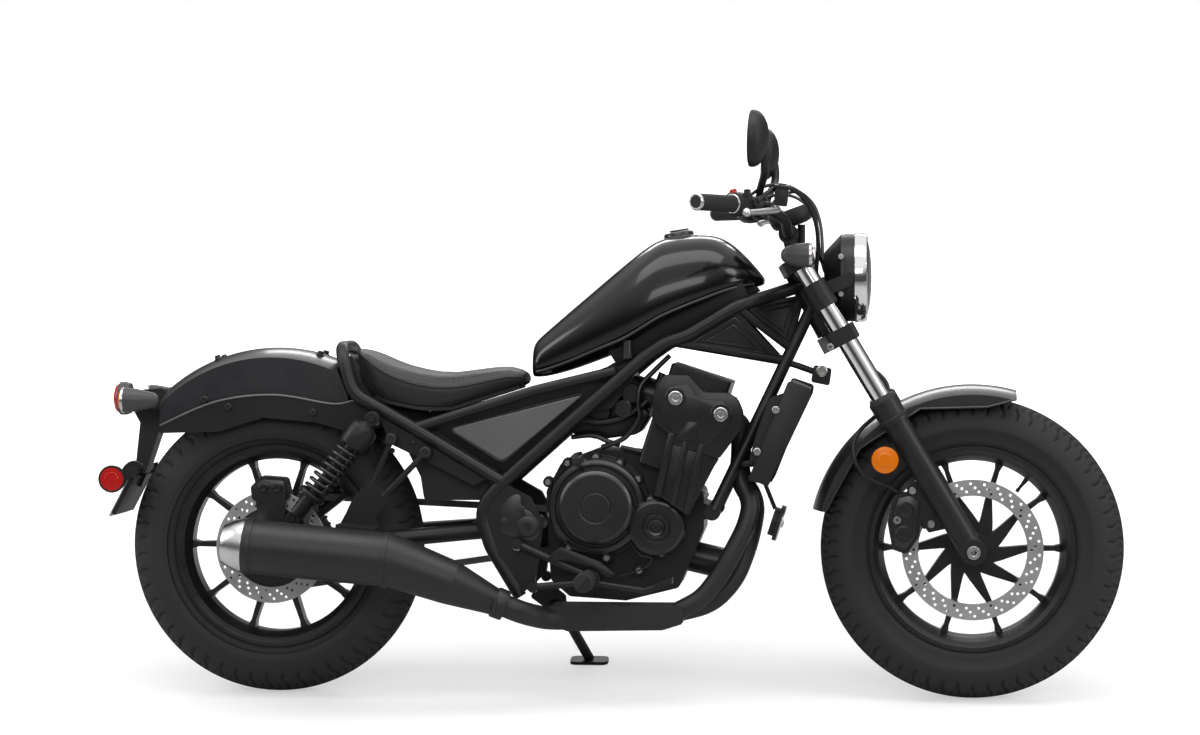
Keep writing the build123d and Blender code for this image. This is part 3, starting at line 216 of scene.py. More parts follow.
def finish(name, colour, rough, metal=0.0, grain=0.004, bump=0.0002, vary=0.25, rough_vary=0.12, edge=0.0012,
           specular=0.5, coat=0.0, coat_rough=0.05, clear=0.0, dust=0.0):
    """One procedural material: grain is the size of its texture in metres, bump its depth in metres."""
    material = bpy.data.materials.new(name)
    material.use_nodes = True
    tree = material.node_tree
    tree.nodes.clear()
    place = wire(tree, "ShaderNodeTexCoord").outputs["Object"]
    broad = wire(tree, "ShaderNodeTexNoise", Vector=place, Scale=9.0, Detail=4.0).outputs[0]
    fine = wire(tree, "ShaderNodeTexNoise", Vector=place, Scale=1 / grain, Detail=3.0).outputs[0]
    blend = maths(tree, "ADD", maths(tree, "MULTIPLY", broad, 0.6), maths(tree, "MULTIPLY", fine, 0.4))
    dark = tuple(max(0.0, c * (1 - vary)) for c in colour) + (1,)
    light = tuple(min(1.0, c * (1 + vary)) for c in colour) + (1,)
    tone = wire(tree, "ShaderNodeMix", _data_type="RGBA", i0=blend, i6=dark, i7=light).outputs[2]
    if dust:
        normal = wire(tree, "ShaderNodeNewGeometry").outputs["Normal"]
        facing = wire(tree, "ShaderNodeSeparateXYZ", i0=normal).outputs["Z"]
        share = maths(tree, "MULTIPLY", maths(tree, "MAXIMUM", facing, 0.0),
                      maths(tree, "MULTIPLY", broad, dust))
        tone = wire(tree, "ShaderNodeMix", _data_type="RGBA", i0=share, i6=tone,
                    i7=(0.22, 0.21, 0.2, 1)).outputs[2]
    sheen_map = wire(tree, "ShaderNodeMapRange", Value=blend, i1=0.3, i2=0.7,
                     i3=max(0.02, rough - rough_vary / 2), i4=min(1.0, rough + rough_vary / 2)).outputs[0]
    shader = wire(tree, "ShaderNodeBsdfPrincipled", Metallic=metal, Roughness=sheen_map, Coat__Weight=coat,
                  Coat__Roughness=coat_rough, Transmission__Weight=clear)
    tree.links.new(tone, shader.inputs["Base Color"])
    shader.inputs["Specular IOR Level"].default_value = specular
    if bump:
        relief = wire(tree, "ShaderNodeBump", Height=fine, Distance=bump, Strength=0.6)
        if edge:
            rounded = wire(tree, "ShaderNodeBevel", _samples=4, Radius=edge)
            tree.links.new(rounded.outputs[0], relief.inputs["Normal"])
        tree.links.new(relief.outputs[0], shader.inputs["Normal"])
    wire(tree, "ShaderNodeOutputMaterial", Surface=shader.outputs[0])
    materials[name] = material


print("a finish can be mixed")

# %% The shop's finishes
finish("lacquer_black", (0.004, 0.004, 0.005), 0.2, grain=0.0008, bump=0.00001, specular=0.25, coat=0.3,
       coat_rough=0.03)
finish("fender_black", (0.022, 0.022, 0.025), 0.3, grain=0.0007, bump=0.00002, specular=0.5, coat=0.35,
       coat_rough=0.12)
finish("powder_black", (0.010, 0.010, 0.0105), 0.42, grain=0.0012, bump=0.00006, specular=0.34)
finish("engine_black", (0.009, 0.009, 0.010), 0.34, grain=0.0016, bump=0.00010, specular=0.36, dust=0.05)
finish("cover_black", (0.010, 0.010, 0.011), 0.3, grain=0.0014, bump=0.00004, specular=0.6)
finish("heat_black", (0.015, 0.015, 0.0155), 0.46, grain=0.0009, bump=0.00005, specular=0.42)
finish("plastic_black", (0.012, 0.012, 0.0125), 0.5, grain=0.0008, bump=0.00012, specular=0.34)
# Light grey: the side covers' own paint, and on the stays' beads a painted highlight.
finish("graphite", (0.14, 0.14, 0.145), 0.34, metal=0.3, grain=0.0006, bump=0.00002, specular=0.5)
finish("smoke_grey", (0.055, 0.055, 0.058), 0.42, grain=0.0008, bump=0.00004, specular=0.4)
finish("brushed_steel", (0.56, 0.56, 0.57), 0.34, metal=1.0, grain=0.0007, bump=0.00003, vary=0.1,
       rough_vary=0.2)
finish("disc_steel", (0.50, 0.50, 0.51), 0.38, metal=1.0, grain=0.0005, bump=0.00002, vary=0.12,
       rough_vary=0.2, edge=0)
finish("cap_steel", (0.62, 0.62, 0.63), 0.26, metal=1.0, grain=0.0006, bump=0.00003, vary=0.08)
finish("chrome_plate", (0.82, 0.82, 0.83), 0.05, metal=1.0, grain=0.003, bump=0.000004, vary=0.03,
       rough_vary=0.04)
finish("bolt_zinc", (0.45, 0.45, 0.44), 0.32, metal=1.0, grain=0.001, bump=0.00004, vary=0.15, edge=0.0005)
finish("bolt_black", (0.012, 0.012, 0.012), 0.4, grain=0.001, bump=0.00004, edge=0.0005)
finish("chain_steel", (0.16, 0.15, 0.14), 0.42, metal=1.0, grain=0.001, bump=0.00005, vary=0.3, edge=0.0004)
finish("tyre_rubber", (0.024, 0.024, 0.0245), 0.72, grain=0.0012, bump=0.00010, specular=0.28, edge=0,
       dust=0.03)
finish("grip_rubber", (0.022, 0.022, 0.022), 0.66, grain=0.0008, bump=0.00010, specular=0.3)
finish("hose_rubber", (0.008, 0.008, 0.008), 0.42, grain=0.0010, bump=0.00012, specular=0.4, edge=0)
finish("core_black", (0.008, 0.008, 0.008), 0.6, grain=0.0010, bump=0.00005, specular=0.3, edge=0)
finish("plate_blank", (0.33, 0.33, 0.335), 0.38, metal=0.4, grain=0.0012, bump=0.00002)
finish("dial_face", (0.01, 0.01, 0.011), 0.3, grain=0.001, bump=0.00001, edge=0)
finish("dial_mark", (0.7, 0.7, 0.7), 0.4, grain=0.001, bump=0.00001, vary=0.05, edge=0)
finish("switch_red", (0.55, 0.03, 0.02), 0.35, grain=0.001, bump=0.00002)
finish("lens_clear", (0.92, 0.94, 0.95), 0.05, grain=0.004, bump=0.00005, vary=0.02, rough_vary=0.02,
       clear=0.96, edge=0)
finish("lens_amber", (0.80, 0.19, 0.0), 0.2, grain=0.002, bump=0.0003, vary=0.2, clear=0.1, edge=0)
finish("lens_red", (0.55, 0.012, 0.01), 0.16, grain=0.002, bump=0.0001, vary=0.1, clear=0.15, edge=0)
finish("mirror_glass", (0.86, 0.88, 0.9), 0.03, metal=1.0, grain=0.01, bump=0.000002, vary=0.01,
       rough_vary=0.01, edge=0)
finish("seat_vinyl", (0.0135, 0.0135, 0.014), 0.5, grain=0.0016, bump=0.00022, specular=0.42, edge=0)
finish("seat_side", (0.0095, 0.0095, 0.010), 0.58, grain=0.0022, bump=0.0003, specular=0.36, edge=0)
finish("seam_thread", (0.03, 0.03, 0.032), 0.6, grain=0.0006, bump=0.0001, edge=0)
print("finishes:", len(materials))

# %% [markdown]
# ## Finishes on the CAD pieces
#
# Frames, engine blocks, pipes and arms keep their CAD shapes and only receive a finish. It could be
# set object by object, but a table that names one for each node makes a repaint a change of one word.

# %% One finish for each CAD node
NODE_FINISH = {
    "powder_black": ["frame", "swingarm", "fender_stays", "muffler_hanger", "foot_pegs", "side_stand",
                     "upper_clamp", "lower_clamp", "fork_legs", "handlebar", "headlight"],
    "engine_black": ["crankcase", "cylinder_block", "cylinder_head", "airbox"],
    "cover_black": ["engine_covers", "sprocket_cover", "front_wheel", "rear_wheel", "front_caliper",
                    "rear_caliper", "shock_absorbers", "fuel_cap"],
    "heat_black": ["exhaust_pipes", "muffler"],
    "plastic_black": ["tail_bracket", "battery_box", "dial", "mirrors", "radiator", "frame_panels"],
    "lacquer_black": ["fuel_tank"],
    "fender_black": ["front_fender", "rear_fender"],
    "graphite": ["side_covers"],
    "smoke_grey": ["front_signals", "rear_lamps"],
    "chrome_plate": ["fork_tubes"],
    "cap_steel": ["muffler_tip", "rear_axle", "front_axle"],
    "disc_steel": ["front_brake_disc", "rear_brake_disc"],
    "chain_steel": ["chain", "rear_sprocket"],
    "tyre_rubber": ["front_tyre", "rear_tyre"],
    "grip_rubber": ["grips_and_controls"],
    "hose_rubber": ["brake_hose", "control_cables"],
    "lens_clear": ["headlight_glass"],
    "plate_blank": ["number_plate"],
    "seat_vinyl": ["seat"],
}
for finish_name, node_names in NODE_FINISH.items():
    for node_name in node_names:
        mesh = frame["nodes"][node_name].data
        mesh.materials.clear()
        mesh.materials.append(materials[finish_name])
print("nodes with a finish:", sum(len(names) for names in NODE_FINISH.values()), "of", len(frame["nodes"]))

# %% [markdown]
# ## From points to a piece
#
# The CAD pieces that need a richer look get a new mesh. It could be sculpted by hand, but machine
# parts are regular, so a few lines of sizes describe them better. Every mesh is made in upright
# millimetres: `skin` spans faces between rings of points, and `piece` moves the result into the
# leaning model and gives it its finish, its body and its material slot.

# %% Faces between rings, and the finished piece
def skin(form, rings, wrap=False):
    """Faces between successive rings of vertices; a ring of one vertex is a point."""
    for lower, upper in list(zip(rings, rings[1:])) + ([(rings[-1], rings[0])] if wrap else []):
        count = max(len(lower), len(upper))
        for number in range(count):
            after = (number + 1) % count
            corners = [lower[number % len(lower)], upper[number % len(upper)], upper[after % len(upper)],
                       lower[after % len(lower)]]
            corners = list(dict.fromkeys(corners))
            if len(corners) > 2:
                form.faces.new(corners)


def piece(name, form, material, body, replaces=(), angle=32):
    """The finished object: its mesh in place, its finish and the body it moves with."""
    bmesh.ops.recalc_face_normals(form, faces=form.faces[:])
    form.transform(PARKED)
    mesh = bpy.data.meshes.new(name)
    form.to_mesh(mesh)
    form.free()
    mesh.shade_smooth()
    mesh.set_sharp_from_angle(angle=math.radians(angle))
    mesh.materials.append(materials[material])
    made = bpy.data.objects.new(name, mesh)
    bpy.context.collection.objects.link(made)
    if replaces:
        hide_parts(*replaces)
    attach(made, body)
    return made


print("skin and piece ready")

# %% [markdown]
# ## Tyres
#
# A tyre could be a torus with a bump map, but on a low machine the tread is seen against the light
# at the crown, so real grooves are worth their faces. The cross-section is swept round the wheel on
# a fine grid, and each vertex on the crown is pushed in where it lies near a groove: a ring on each
# side of the middle, and zigzag cuts that climb from the middle out over the shoulder.

# %% Depth of the tread
GROOVE_DEPTH = 5.0


def near(value, middle, half, soft):
    """One inside a band, nought outside it, with a short slope between."""
    return min(1.0, max(0.0, (half + soft - abs(value - middle)) / soft))


def tread_depth(across_share, around_share, cuts):
    """Depth of the groove at a place on the crown; across_share runs from -1 to 1."""
    side = abs(across_share)
    depth = near(side, 0.16, 0.022, 0.02)
    zigzag = 0.28 * (1 if side < 0.5 else -1) * (side - 0.5) + 0.10 * math.sin(side * 9)
    phase = (around_share * cuts + zigzag * 2.2 + (0.5 if across_share > 0 else 0.0)) % 1.0
    if 0.24 < side < 0.97:
        depth = max(depth, near(phase, 0.5, 0.055, 0.05) * near(side, 0.6, 0.32, 0.05))
    half_phase = (phase + 0.5) % 1.0
    if 0.3 < side < 0.7:
        short_cut = 0.8 * near(half_phase, 0.5 + 0.3 * (side - 0.5), 0.045, 0.05)
        depth = max(depth, short_cut * near(side, 0.5, 0.13, 0.05))
    return depth * GROOVE_DEPTH


print("deepest groove:", GROOVE_DEPTH, "mm")

# %% Tyres with cut tread
TREAD_SHARE = 0.94
AROUND, CROWN_STEPS = 540, 44


def tyre(name, x, radius, width, rim_half, cuts, body, node):
    """A tyre standing on the ground line, so its axle is as high as its radius."""
    form = bmesh.new()
    crown = width / 2
    belt = radius - crown
    wall = [(rim_half - 9, 205), (rim_half - 4.5, 219), (rim_half + 2, 224), (rim_half + 5, 230),
            (rim_half + 4.4, 233), (crown - 3.5, belt - 10), (crown - 0.6, belt - 1)]
    rings = []
    for number in range(AROUND):
        angle = math.tau * number / AROUND
        section = [(-y, r) for y, r in wall]
        for step in range(CROWN_STEPS + 1):
            over = math.pi * step / CROWN_STEPS
            across_share = -math.cos(over) / TREAD_SHARE
            cut = tread_depth(across_share, number / AROUND, cuts) if abs(across_share) < 1 else 0
            reach = crown - cut
            section.append((-reach * math.cos(over), belt + reach * math.sin(over)))
        section += list(reversed(wall))
        rings.append([form.verts.new((x + r * math.cos(angle), y, radius + r * math.sin(angle)))
                      for y, r in section])
    skin(form, rings, wrap=True)
    return piece(name, form, "tyre_rubber", body, [node], angle=50)


tyre("front_tyre_tread", WHEELBASE, FRONT_AXLE_HEIGHT, 130, 50, 58, "front_wheel", "front_tyre")
tyre("rear_tyre_tread", 0, REAR_AXLE_HEIGHT, 150, 54, 52, "rear_wheel", "rear_tyre")
print("tyres cut in", AROUND, "sections")

# %% [markdown]
# ## Brake discs
#
# A disc is a flat ring with many small holes. Punching them with booleans is slow, so the outline
# and the holes are closed splines of one flat curve, filled and thickened. Each row of holes is
# shifted round from the row inside it, so that together they sweep the whole pad.

# %% Punched forms
def circle(x, y, radius, steps=48):
    turns = [math.tau * number / steps for number in range(steps)]
    return [(x + radius * math.cos(turn), y + radius * math.sin(turn)) for turn in turns]


PUNCH_EDGE = 0.3


def punched(outer, holes, thickness):
    """Flat form in the XY plane with holes, from closed lists of points, centred on its thickness."""
    curve = bpy.data.curves.new("punched", "CURVE")
    curve.dimensions, curve.fill_mode = "2D", "BOTH"
    curve.extrude, curve.bevel_depth, curve.bevel_resolution = thickness / 2 - PUNCH_EDGE, PUNCH_EDGE, 0
    curve.offset = -PUNCH_EDGE
    for outline in [outer] + holes:
        spline = curve.splines.new("POLY")
        spline.points.add(len(outline) - 1)
        for point, (x, y) in zip(spline.points, outline):
            point.co = (x, y, 0, 1)
        spline.use_cyclic_u = True
    holder = bpy.data.objects.new("punched", curve)
    bpy.context.collection.objects.link(holder)
    mesh = bpy.data.meshes.new_from_object(holder.evaluated_get(bpy.context.evaluated_depsgraph_get()))
    form = bmesh.new()
    form.from_mesh(mesh)
    bpy.data.objects.remove(holder)
    bpy.data.meshes.remove(mesh)
    bpy.data.curves.remove(curve)
    return form


def add(form, part, place=None):
    """Puts one form into another."""
    if place is not None:
        part.transform(place)
    held = bpy.data.meshes.new("held")
    part.to_mesh(held)
    part.free()
    form.from_mesh(held)
    bpy.data.meshes.remove(held)


QUARTER_TURN = math.radians(90)
# The turn that lays a punched form in the side view.
SIDEWAYS = Matrix.Rotation(QUARTER_TURN, 4, "X")
print("a punched form can be laid sideways")

# %% Drilled discs
def disc_form(outer, inner, thickness, rows, count, hole, drift):
    """A disc with rows of count holes; drift is each row's shift, as a share of the pitch."""
    holes = [circle(0, 0, inner, 96)]
    for row, radius in enumerate(rows):
        for number in range(count):
            angle = math.tau * (number + drift * row) / count
            holes.append(circle(radius * math.cos(angle), radius * math.sin(angle), hole, 14))
    return punched(circle(0, 0, outer, 128), holes, thickness)


front_disc = bmesh.new()
add(front_disc, disc_form(148, 114, 4.5, (123, 131, 139.5), 30, 3.0, 0.33),
    Matrix.Translation((WHEELBASE, -72, FRONT_AXLE_HEIGHT)) @ SIDEWAYS)
piece("front_disc_drilled", front_disc, "disc_steel", "front_wheel", ["front_brake_disc"])
rear_disc = bmesh.new()
add(rear_disc, disc_form(120, 86, 4.5, (94, 102, 111), 26, 3.0, 0.33),
    Matrix.Translation((0, -84, REAR_AXLE_HEIGHT)) @ SIDEWAYS)
piece("rear_disc_drilled", rear_disc, "disc_steel", "rear_wheel", ["rear_brake_disc"])
print("discs drilled")

# %% [markdown]
# ## A small workshop
#
# Four ways of making a form cover nearly all that follows: turning a profile on a lathe, drawing a
# tube through points, lofting through sections, and cutting a plate from an outline. Curves with a
# bevel and Screw modifiers could do the same, but plain functions that add rings of points to one
# bmesh let many bolts or ribs share one object.

# %% Turned forms
def oriented(axis):
    """Three square directions, the first along the axis."""
    along = Vector(axis).normalized()
    side = along.orthogonal().normalized()
    return along, side, along.cross(side)


def lathe(form, centre, axis, profile, sides=48, wrap=False):
    """Turns (along, radius) steps about an axis; a radius of nought is a point."""
    along, side, up = oriented(axis)
    rings = []
    for distance, radius in profile:
        middle = Vector(centre) + along * distance
        turns = [math.tau * number / sides for number in range(sides)] if radius > 0.001 else [0.0]
        rings.append([form.verts.new(middle + (side * math.cos(a) + up * math.sin(a)) * radius)
                      for a in turns])
    skin(form, rings, wrap)


# Directions in the upright axes.
AHEAD, BEHIND, LEFT, RIGHT, UP = (1, 0, 0), (-1, 0, 0), (0, 1, 0), (0, -1, 0), (0, 0, 1)
print("lathe ready")

# %% Tubes and curves
def tube(form, points, radius, sides=12):
    """Round tube through points; radius is one number, or one for each point."""
    points = [Vector(point) for point in points]
    radii = radius if isinstance(radius, (list, tuple)) else [radius] * len(points)
    side = (points[1] - points[0]).orthogonal().normalized()
    rings = []
    for number, point in enumerate(points):
        along = (points[min(number + 1, len(points) - 1)] - points[max(number - 1, 0)]).normalized()
        side = (side - along * side.dot(along)).normalized()
        up = along.cross(side)
        rings.append([form.verts.new(point + (side * math.cos(math.tau * step / sides)
                                              + up * math.sin(math.tau * step / sides)) * radii[number])
                      for step in range(sides)])
    skin(form, rings)
    form.faces.new(rings[0])
    form.faces.new(rings[-1])


def smooth(points, steps=6):
    """A curve through points, as many short runs."""
    points = [Vector(point) for point in points]
    line = []
    for number in range(len(points) - 1):
        a, b, c, d = (points[min(max(number + shift, 0), len(points) - 1)] for shift in (-1, 0, 1, 2))
        for step in range(steps):
            t = step / steps
            line.append(0.5 * (2 * b + (c - a) * t + (2 * a - 5 * b + 4 * c - d) * t * t
                               + (3 * b - a - 3 * c + d) * t ** 3))
    return line + [points[-1]]


print("tube ready")

# %% Lofted and cut forms
def loft(form, sections):
    """A closed form through sections with the same number of points."""
    rings = [[form.verts.new(point) for point in section] for section in sections]
    skin(form, rings)
    form.faces.new(rings[0])
    form.faces.new(rings[-1])


def rounded(outline, radius, steps=5):
    """An outline with its corners rounded off."""
    points = []
    for number in range(len(outline)):
        before, here, after = (Vector(outline[(number + shift) % len(outline)]) for shift in (-1, 0, 1))
        reach = min(radius, (before - here).length * 0.45, (after - here).length * 0.45)
        start, end = here + (before - here).normalized() * reach, here + (after - here).normalized() * reach
        for step in range(steps + 1):
            share = step / steps
            points.append(tuple(start * (1 - share) ** 2 + here * 2 * share * (1 - share) + end * share ** 2))
    return points


def plate(form, outline, low, high, bevel=1.2):
    """Plate from an outline of (x, z), between two distances across, with rounded edges."""
    part = bmesh.new()
    base = part.faces.new([part.verts.new((x, low, z)) for x, z in outline])
    grown = bmesh.ops.extrude_face_region(part, geom=[base])
    lifted = [item for item in grown["geom"] if isinstance(item, bmesh.types.BMVert)]
    bmesh.ops.translate(part, vec=(0, high - low, 0), verts=lifted)
    bmesh.ops.recalc_face_normals(part, faces=part.faces[:])
    if bevel:
        rims = [edge for edge in part.edges if abs(edge.verts[0].co.y - edge.verts[1].co.y) < 1e-4]
        bmesh.ops.bevel(part, geom=rims, offset=bevel, segments=2, profile=0.5, affect="EDGES",
                        clamp_overlap=True)
    add(form, part)


print("loft and plate ready")

# %% [markdown]
# ## Fuel tank
#
# The CAD tank is three outlines cut through each other, which gives the right size but leaves
# creases. Pressed steel flows, so here the tank is lofted through stations along its length. Each
# station is a rounded section: narrow at the foot, widest low down, and drawn up to a soft crown.
# A subdivision surface then evens out what is left between stations.

# %% Tank
# x, top, foot, half width, height of the widest place
TANK_STATIONS = [(557, 742, 682, 56, 704), (559, 752, 681, 64, 706), (568, 764, 680, 74, 710),
                 (590, 783, 682, 84, 720), (640, 826, 695, 102, 744), (700, 877, 717, 120, 774),
                 (760, 928, 740, 133, 802), (808, 966, 774, 139, 824), (838, 979, 794, 140, 838),
                 (890, 985, 818, 137, 858), (940, 985, 840, 126, 874), (972, 973, 854, 111, 882),
                 (1004, 946, 865, 88, 888), (1030, 917, 872, 66, 888), (1046, 898, 876, 44, 888),
                 (1051, 890, 880, 32, 886)]
SECTION_STEPS = 28


def tank_section(x, top, foot, half, middle):
    """One station's outline, a rounded diamond above its widest place and a fuller one below."""
    section = []
    for step in range(SECTION_STEPS):
        turn = math.tau * step / SECTION_STEPS
        across_share, up_share = math.cos(turn), math.sin(turn)
        y = half * math.copysign(abs(across_share) ** (0.86 if up_share > 0 else 0.62), across_share)
        rise = abs(up_share) ** (0.94 if up_share > 0 else 0.8)
        reach = top - middle if up_share > 0 else foot - middle
        section.append((x, y, middle + rise * reach))
    return section


tank_form = bmesh.new()
loft(tank_form, [tank_section(*row) for row in TANK_STATIONS])
tank = piece("tank_skin", tank_form, "lacquer_black", "chassis", ["fuel_tank"], angle=80)
soften = tank.modifiers.new("soften", "SUBSURF")
soften.levels = soften.render_levels = 2
print("tank:", len(TANK_STATIONS), "stations")

# %% Tank flange and posts
# The pressed halves meet in a flange along the foot, and a post on each side holds the tank.
flange_form = bmesh.new()
for side in (-1, 1):
    line = [(x, side * (half * 0.93 + 0.5), foot + (middle - foot) * 0.42)
            for x, top, foot, half, middle in TANK_STATIONS[2:-2]]
    tube(flange_form, smooth(line, 4), 3.2, 8)
    tube(flange_form, [(765, side * 112, 722), (765, side * 112, 760)], 9, 20)
piece("tank_flange", flange_form, "fender_black", "chassis", angle=60)
print("flange and posts built")

# %% Filler cap
cap_form = bmesh.new()
cap_axis = Vector((-0.155, 0, 0.988))
FILLER_PROFILE = [(-6, 0), (-6, 40), (2, 40), (4, 37), (4.5, 33), (6, 32), (12, 31.5), (14.5, 29), (15.2, 25),
                  (14.2, 22), (14.2, 0)]
lathe(cap_form, Vector((868, 0, 975.7)), cap_axis, FILLER_PROFILE, 64)
piece("filler_cap", cap_form, "cover_black", "chassis", ["fuel_cap"])
tab_form = bmesh.new()
tab_outline = [(848, 989), (888, 995.5), (887, 999), (847, 993)]
plate(tab_form, rounded(tab_outline, 1.5, 2), -7, 7, 1.0)
piece("filler_cap_tab", tab_form, "cover_black", "chassis")
print("filler cap built")

# %% [markdown]
# ## Seat
#
# A motorcycle seat is foam under stretched vinyl: flat where it sits on its pan, crowned above, with
# a stiff upturned tail. Modelling the crown by hand tends to look like plastic, so a smaller shell
# is remeshed, inflated a little by a cloth simulation, and held at its foot so that the pan stays
# flat. The simulation's movement is then averaged over neighbouring points, because tight vinyl has
# no creases. The piping and stitches go on afterwards, drawn on the finished surface.

# %% Seat shell before padding
# x, half width, crown in the middle, height of the seam at the edge, foot
SEAT_STATIONS = [(182, 52, 739, 733, 700), (190, 72, 737, 727, 674), (206, 92, 731, 716, 655),
                 (226, 107, 721, 703, 640), (250, 116, 709, 689, 630), (280, 121, 697, 677, 624),
                 (315, 121, 688, 667, 617), (350, 117, 682, 661, 614), (390, 108, 681, 660, 615),
                 (430, 98, 686, 665, 628), (470, 87, 692, 673, 641), (505, 78, 697, 680, 652),
                 (530, 70, 694, 680, 660), (543, 60, 687, 678, 667)]


def seat_section(x, half, crown, seam, foot):
    """One station's outline, from the left foot over the crown to the right foot."""
    side = [(half * 0.86, foot), (half * 0.95, foot + 0.35 * (seam - foot)),
            (half, foot + 0.75 * (seam - foot)), (half, seam), (half * 0.93, seam + 0.42 * (crown - seam)),
            (half * 0.72, seam + 0.76 * (crown - seam)), (half * 0.42, crown - 1.5), (half * 0.14, crown)]
    return [(x, y, z) for y, z in side] + [(x, -y, z) for y, z in reversed(side)]


seat_form = bmesh.new()
loft(seat_form, [seat_section(*row) for row in SEAT_STATIONS])
bmesh.ops.recalc_face_normals(seat_form, faces=seat_form.faces[:])
bmesh.ops.subdivide_edges(seat_form, edges=seat_form.edges[:], cuts=1, use_grid_fill=True)
seat = piece("seat_cushion", seat_form, "seat_vinyl", "chassis", ["seat"], angle=80)
print("seat shell:", len(seat.data.vertices), "points")

# %% An even shell
VOXEL = 0.005


def remeshed(cushion):
    """Gives a shell an even mesh of small faces, which cloth needs, and keeps its finish."""
    remesh = cushion.modifiers.new("remesh", "REMESH")
    remesh.mode, remesh.voxel_size, remesh.use_smooth_shade = "VOXEL", VOXEL, True
    graph = bpy.context.evaluated_depsgraph_get()
    shell = bpy.data.meshes.new_from_object(cushion.evaluated_get(graph))
    cushion.modifiers.clear()
    material = cushion.data.materials[0]
    cushion.data = shell
    cushion.data.materials.clear()
    cushion.data.materials.append(material)
    return shell


print("shell faces of", round(VOXEL * 1000), "mm")

# %% Padding by simulation
SEAT_CAP = 0.010
PRESSURE, CLOTH_FRAMES, SMOOTH_PASSES = 4.0, 20, 60
HELD_ABOVE_FOOT = 12


def blown_up(cushion):
    """The shell's mesh after the cloth simulation, in which its pinned group is held."""
    cloth = cushion.modifiers.new("cloth", "CLOTH")
    cloth.settings.use_pressure, cloth.settings.uniform_pressure_force = True, PRESSURE
    cloth.settings.vertex_group_mass = "pinned"
    cloth.settings.effector_weights.gravity = 0.0
    cloth.collision_settings.use_collision = False
    cloth.point_cache.frame_start, cloth.point_cache.frame_end = 1, CLOTH_FRAMES
    for number in range(1, CLOTH_FRAMES + 1):
        scene.frame_set(number)
    blown = bpy.data.meshes.new_from_object(cushion.evaluated_get(bpy.context.evaluated_depsgraph_get()))
    cushion.modifiers.clear()
    return blown


def averaged(moved, mesh):
    """Each point's movement averaged with its neighbours', many times over."""
    ends = numpy.array([edge.vertices[:] for edge in mesh.edges])
    shares = numpy.bincount(ends.ravel(), minlength=len(moved))[:, None] + 1.0
    for _ in range(SMOOTH_PASSES):
        total = moved.copy()
        numpy.add.at(total, ends[:, 0], moved[ends[:, 1]])
        numpy.add.at(total, ends[:, 1], moved[ends[:, 0]])
        moved = total / shares
    return moved


def pad_out(cushion, cap, is_held):
    """Inflates a shell as cloth; points low on the shell are held, and none moves further than cap."""
    shell = remeshed(cushion)
    start = [vertex.co.copy() for vertex in shell.vertices]
    to_upright = PARKED.inverted()
    pinned = cushion.vertex_groups.new(name="pinned")
    pinned.add([vertex.index for vertex in shell.vertices if is_held(to_upright @ vertex.co)], 1.0, "REPLACE")
    blown = blown_up(cushion)
    moved = numpy.array([vertex.co - first for vertex, first in zip(blown.vertices, start)])
    lengths = numpy.linalg.norm(moved, axis=1, keepdims=True)
    moved *= numpy.minimum(1, cap / numpy.maximum(lengths, 1e-9))
    for vertex, first, step in zip(blown.vertices, start, averaged(moved, blown)):
        vertex.co = first + Vector(step)
    cushion.data = blown
    scene.frame_set(1)


print("padding of", round(SEAT_CAP * 1000), "mm at most")

# %% The padded seat
def seat_foot(x):
    """Height of the shell's foot at a station, between the table's rows."""
    for first, second in zip(SEAT_STATIONS, SEAT_STATIONS[1:]):
        if first[0] <= x <= second[0]:
            return first[4] + (second[4] - first[4]) * (x - first[0]) / (second[0] - first[0])
    return 700


pad_out(seat, SEAT_CAP, lambda place: place.z < seat_foot(place.x) + HELD_ABOVE_FOOT)
for polygon in seat.data.polygons:
    polygon.use_smooth = True
rounder = seat.modifiers.new("rounder", "SUBSURF")
rounder.levels = rounder.render_levels = 1
print("seat points after padding:", len(seat.data.vertices))

# %% [markdown]
# The seam runs round the cushion a little below its crown. Its line is first drawn in the stations'
# own numbers and then pulled onto the padded surface, found with a search tree over the seat's
# faces, so that the piping lies on the vinyl however far the padding swelled.

# %% Piping and stitches
graph = bpy.context.evaluated_depsgraph_get()
surface = BVHTree.FromObject(seat, graph)


def onto_seat(point, lift):
    """The nearest place on the cushion, a little proud of it, in upright millimetres."""
    place, normal, _, _ = surface.find_nearest(at(*point))
    return PARKED.inverted() @ (place + normal * lift / 1000)


seam_form, stitch_form = bmesh.new(), bmesh.new()
for side in (-1, 1):
    line = [(x, side * (half + 6), seam + 3) for x, half, crown, seam, foot in SEAT_STATIONS[1:]]
    drawn = [onto_seat(point, 0.4) for point in smooth(line, 10)]
    tube(seam_form, drawn, 1.9, 8)
    line = [(x, side * (half * 0.80), crown + 8) for x, half, crown, seam, foot in SEAT_STATIONS[2:]]
    drawn = [onto_seat(point, 0.1) for point in smooth(line, 8)]
    for first, second in zip(drawn[::2], drawn[1::2]):
        tube(stitch_form, [first, (first + second) / 2, second], 0.7, 6)
piece("seat_piping", seam_form, "seat_side", "chassis", angle=80)
piece("seat_stitches", stitch_form, "seam_thread", "chassis", angle=80)
pan_form = bmesh.new()
loft(pan_form, [[(x, half * 0.9, foot + 3), (x, half * 0.9, foot - 4), (x, -half * 0.9, foot - 4),
                 (x, -half * 0.9, foot + 3)] for x, half, crown, seam, foot in SEAT_STATIONS[3:-1]])
piece("seat_pan", pan_form, "plastic_black", "chassis")
print("seat sewn")

# %% [markdown]
# ## Headlight
#
# The bowl is lofted through rings that drop as they narrow to the back, and the chrome rim and the
# domed glass are turned. Behind the glass stand a polished reflector and four small lamps, because a
# clear lens over nothing reads as a hole.

# %% Headlight
LAMP_X, LAMP_Z = 1258, 893
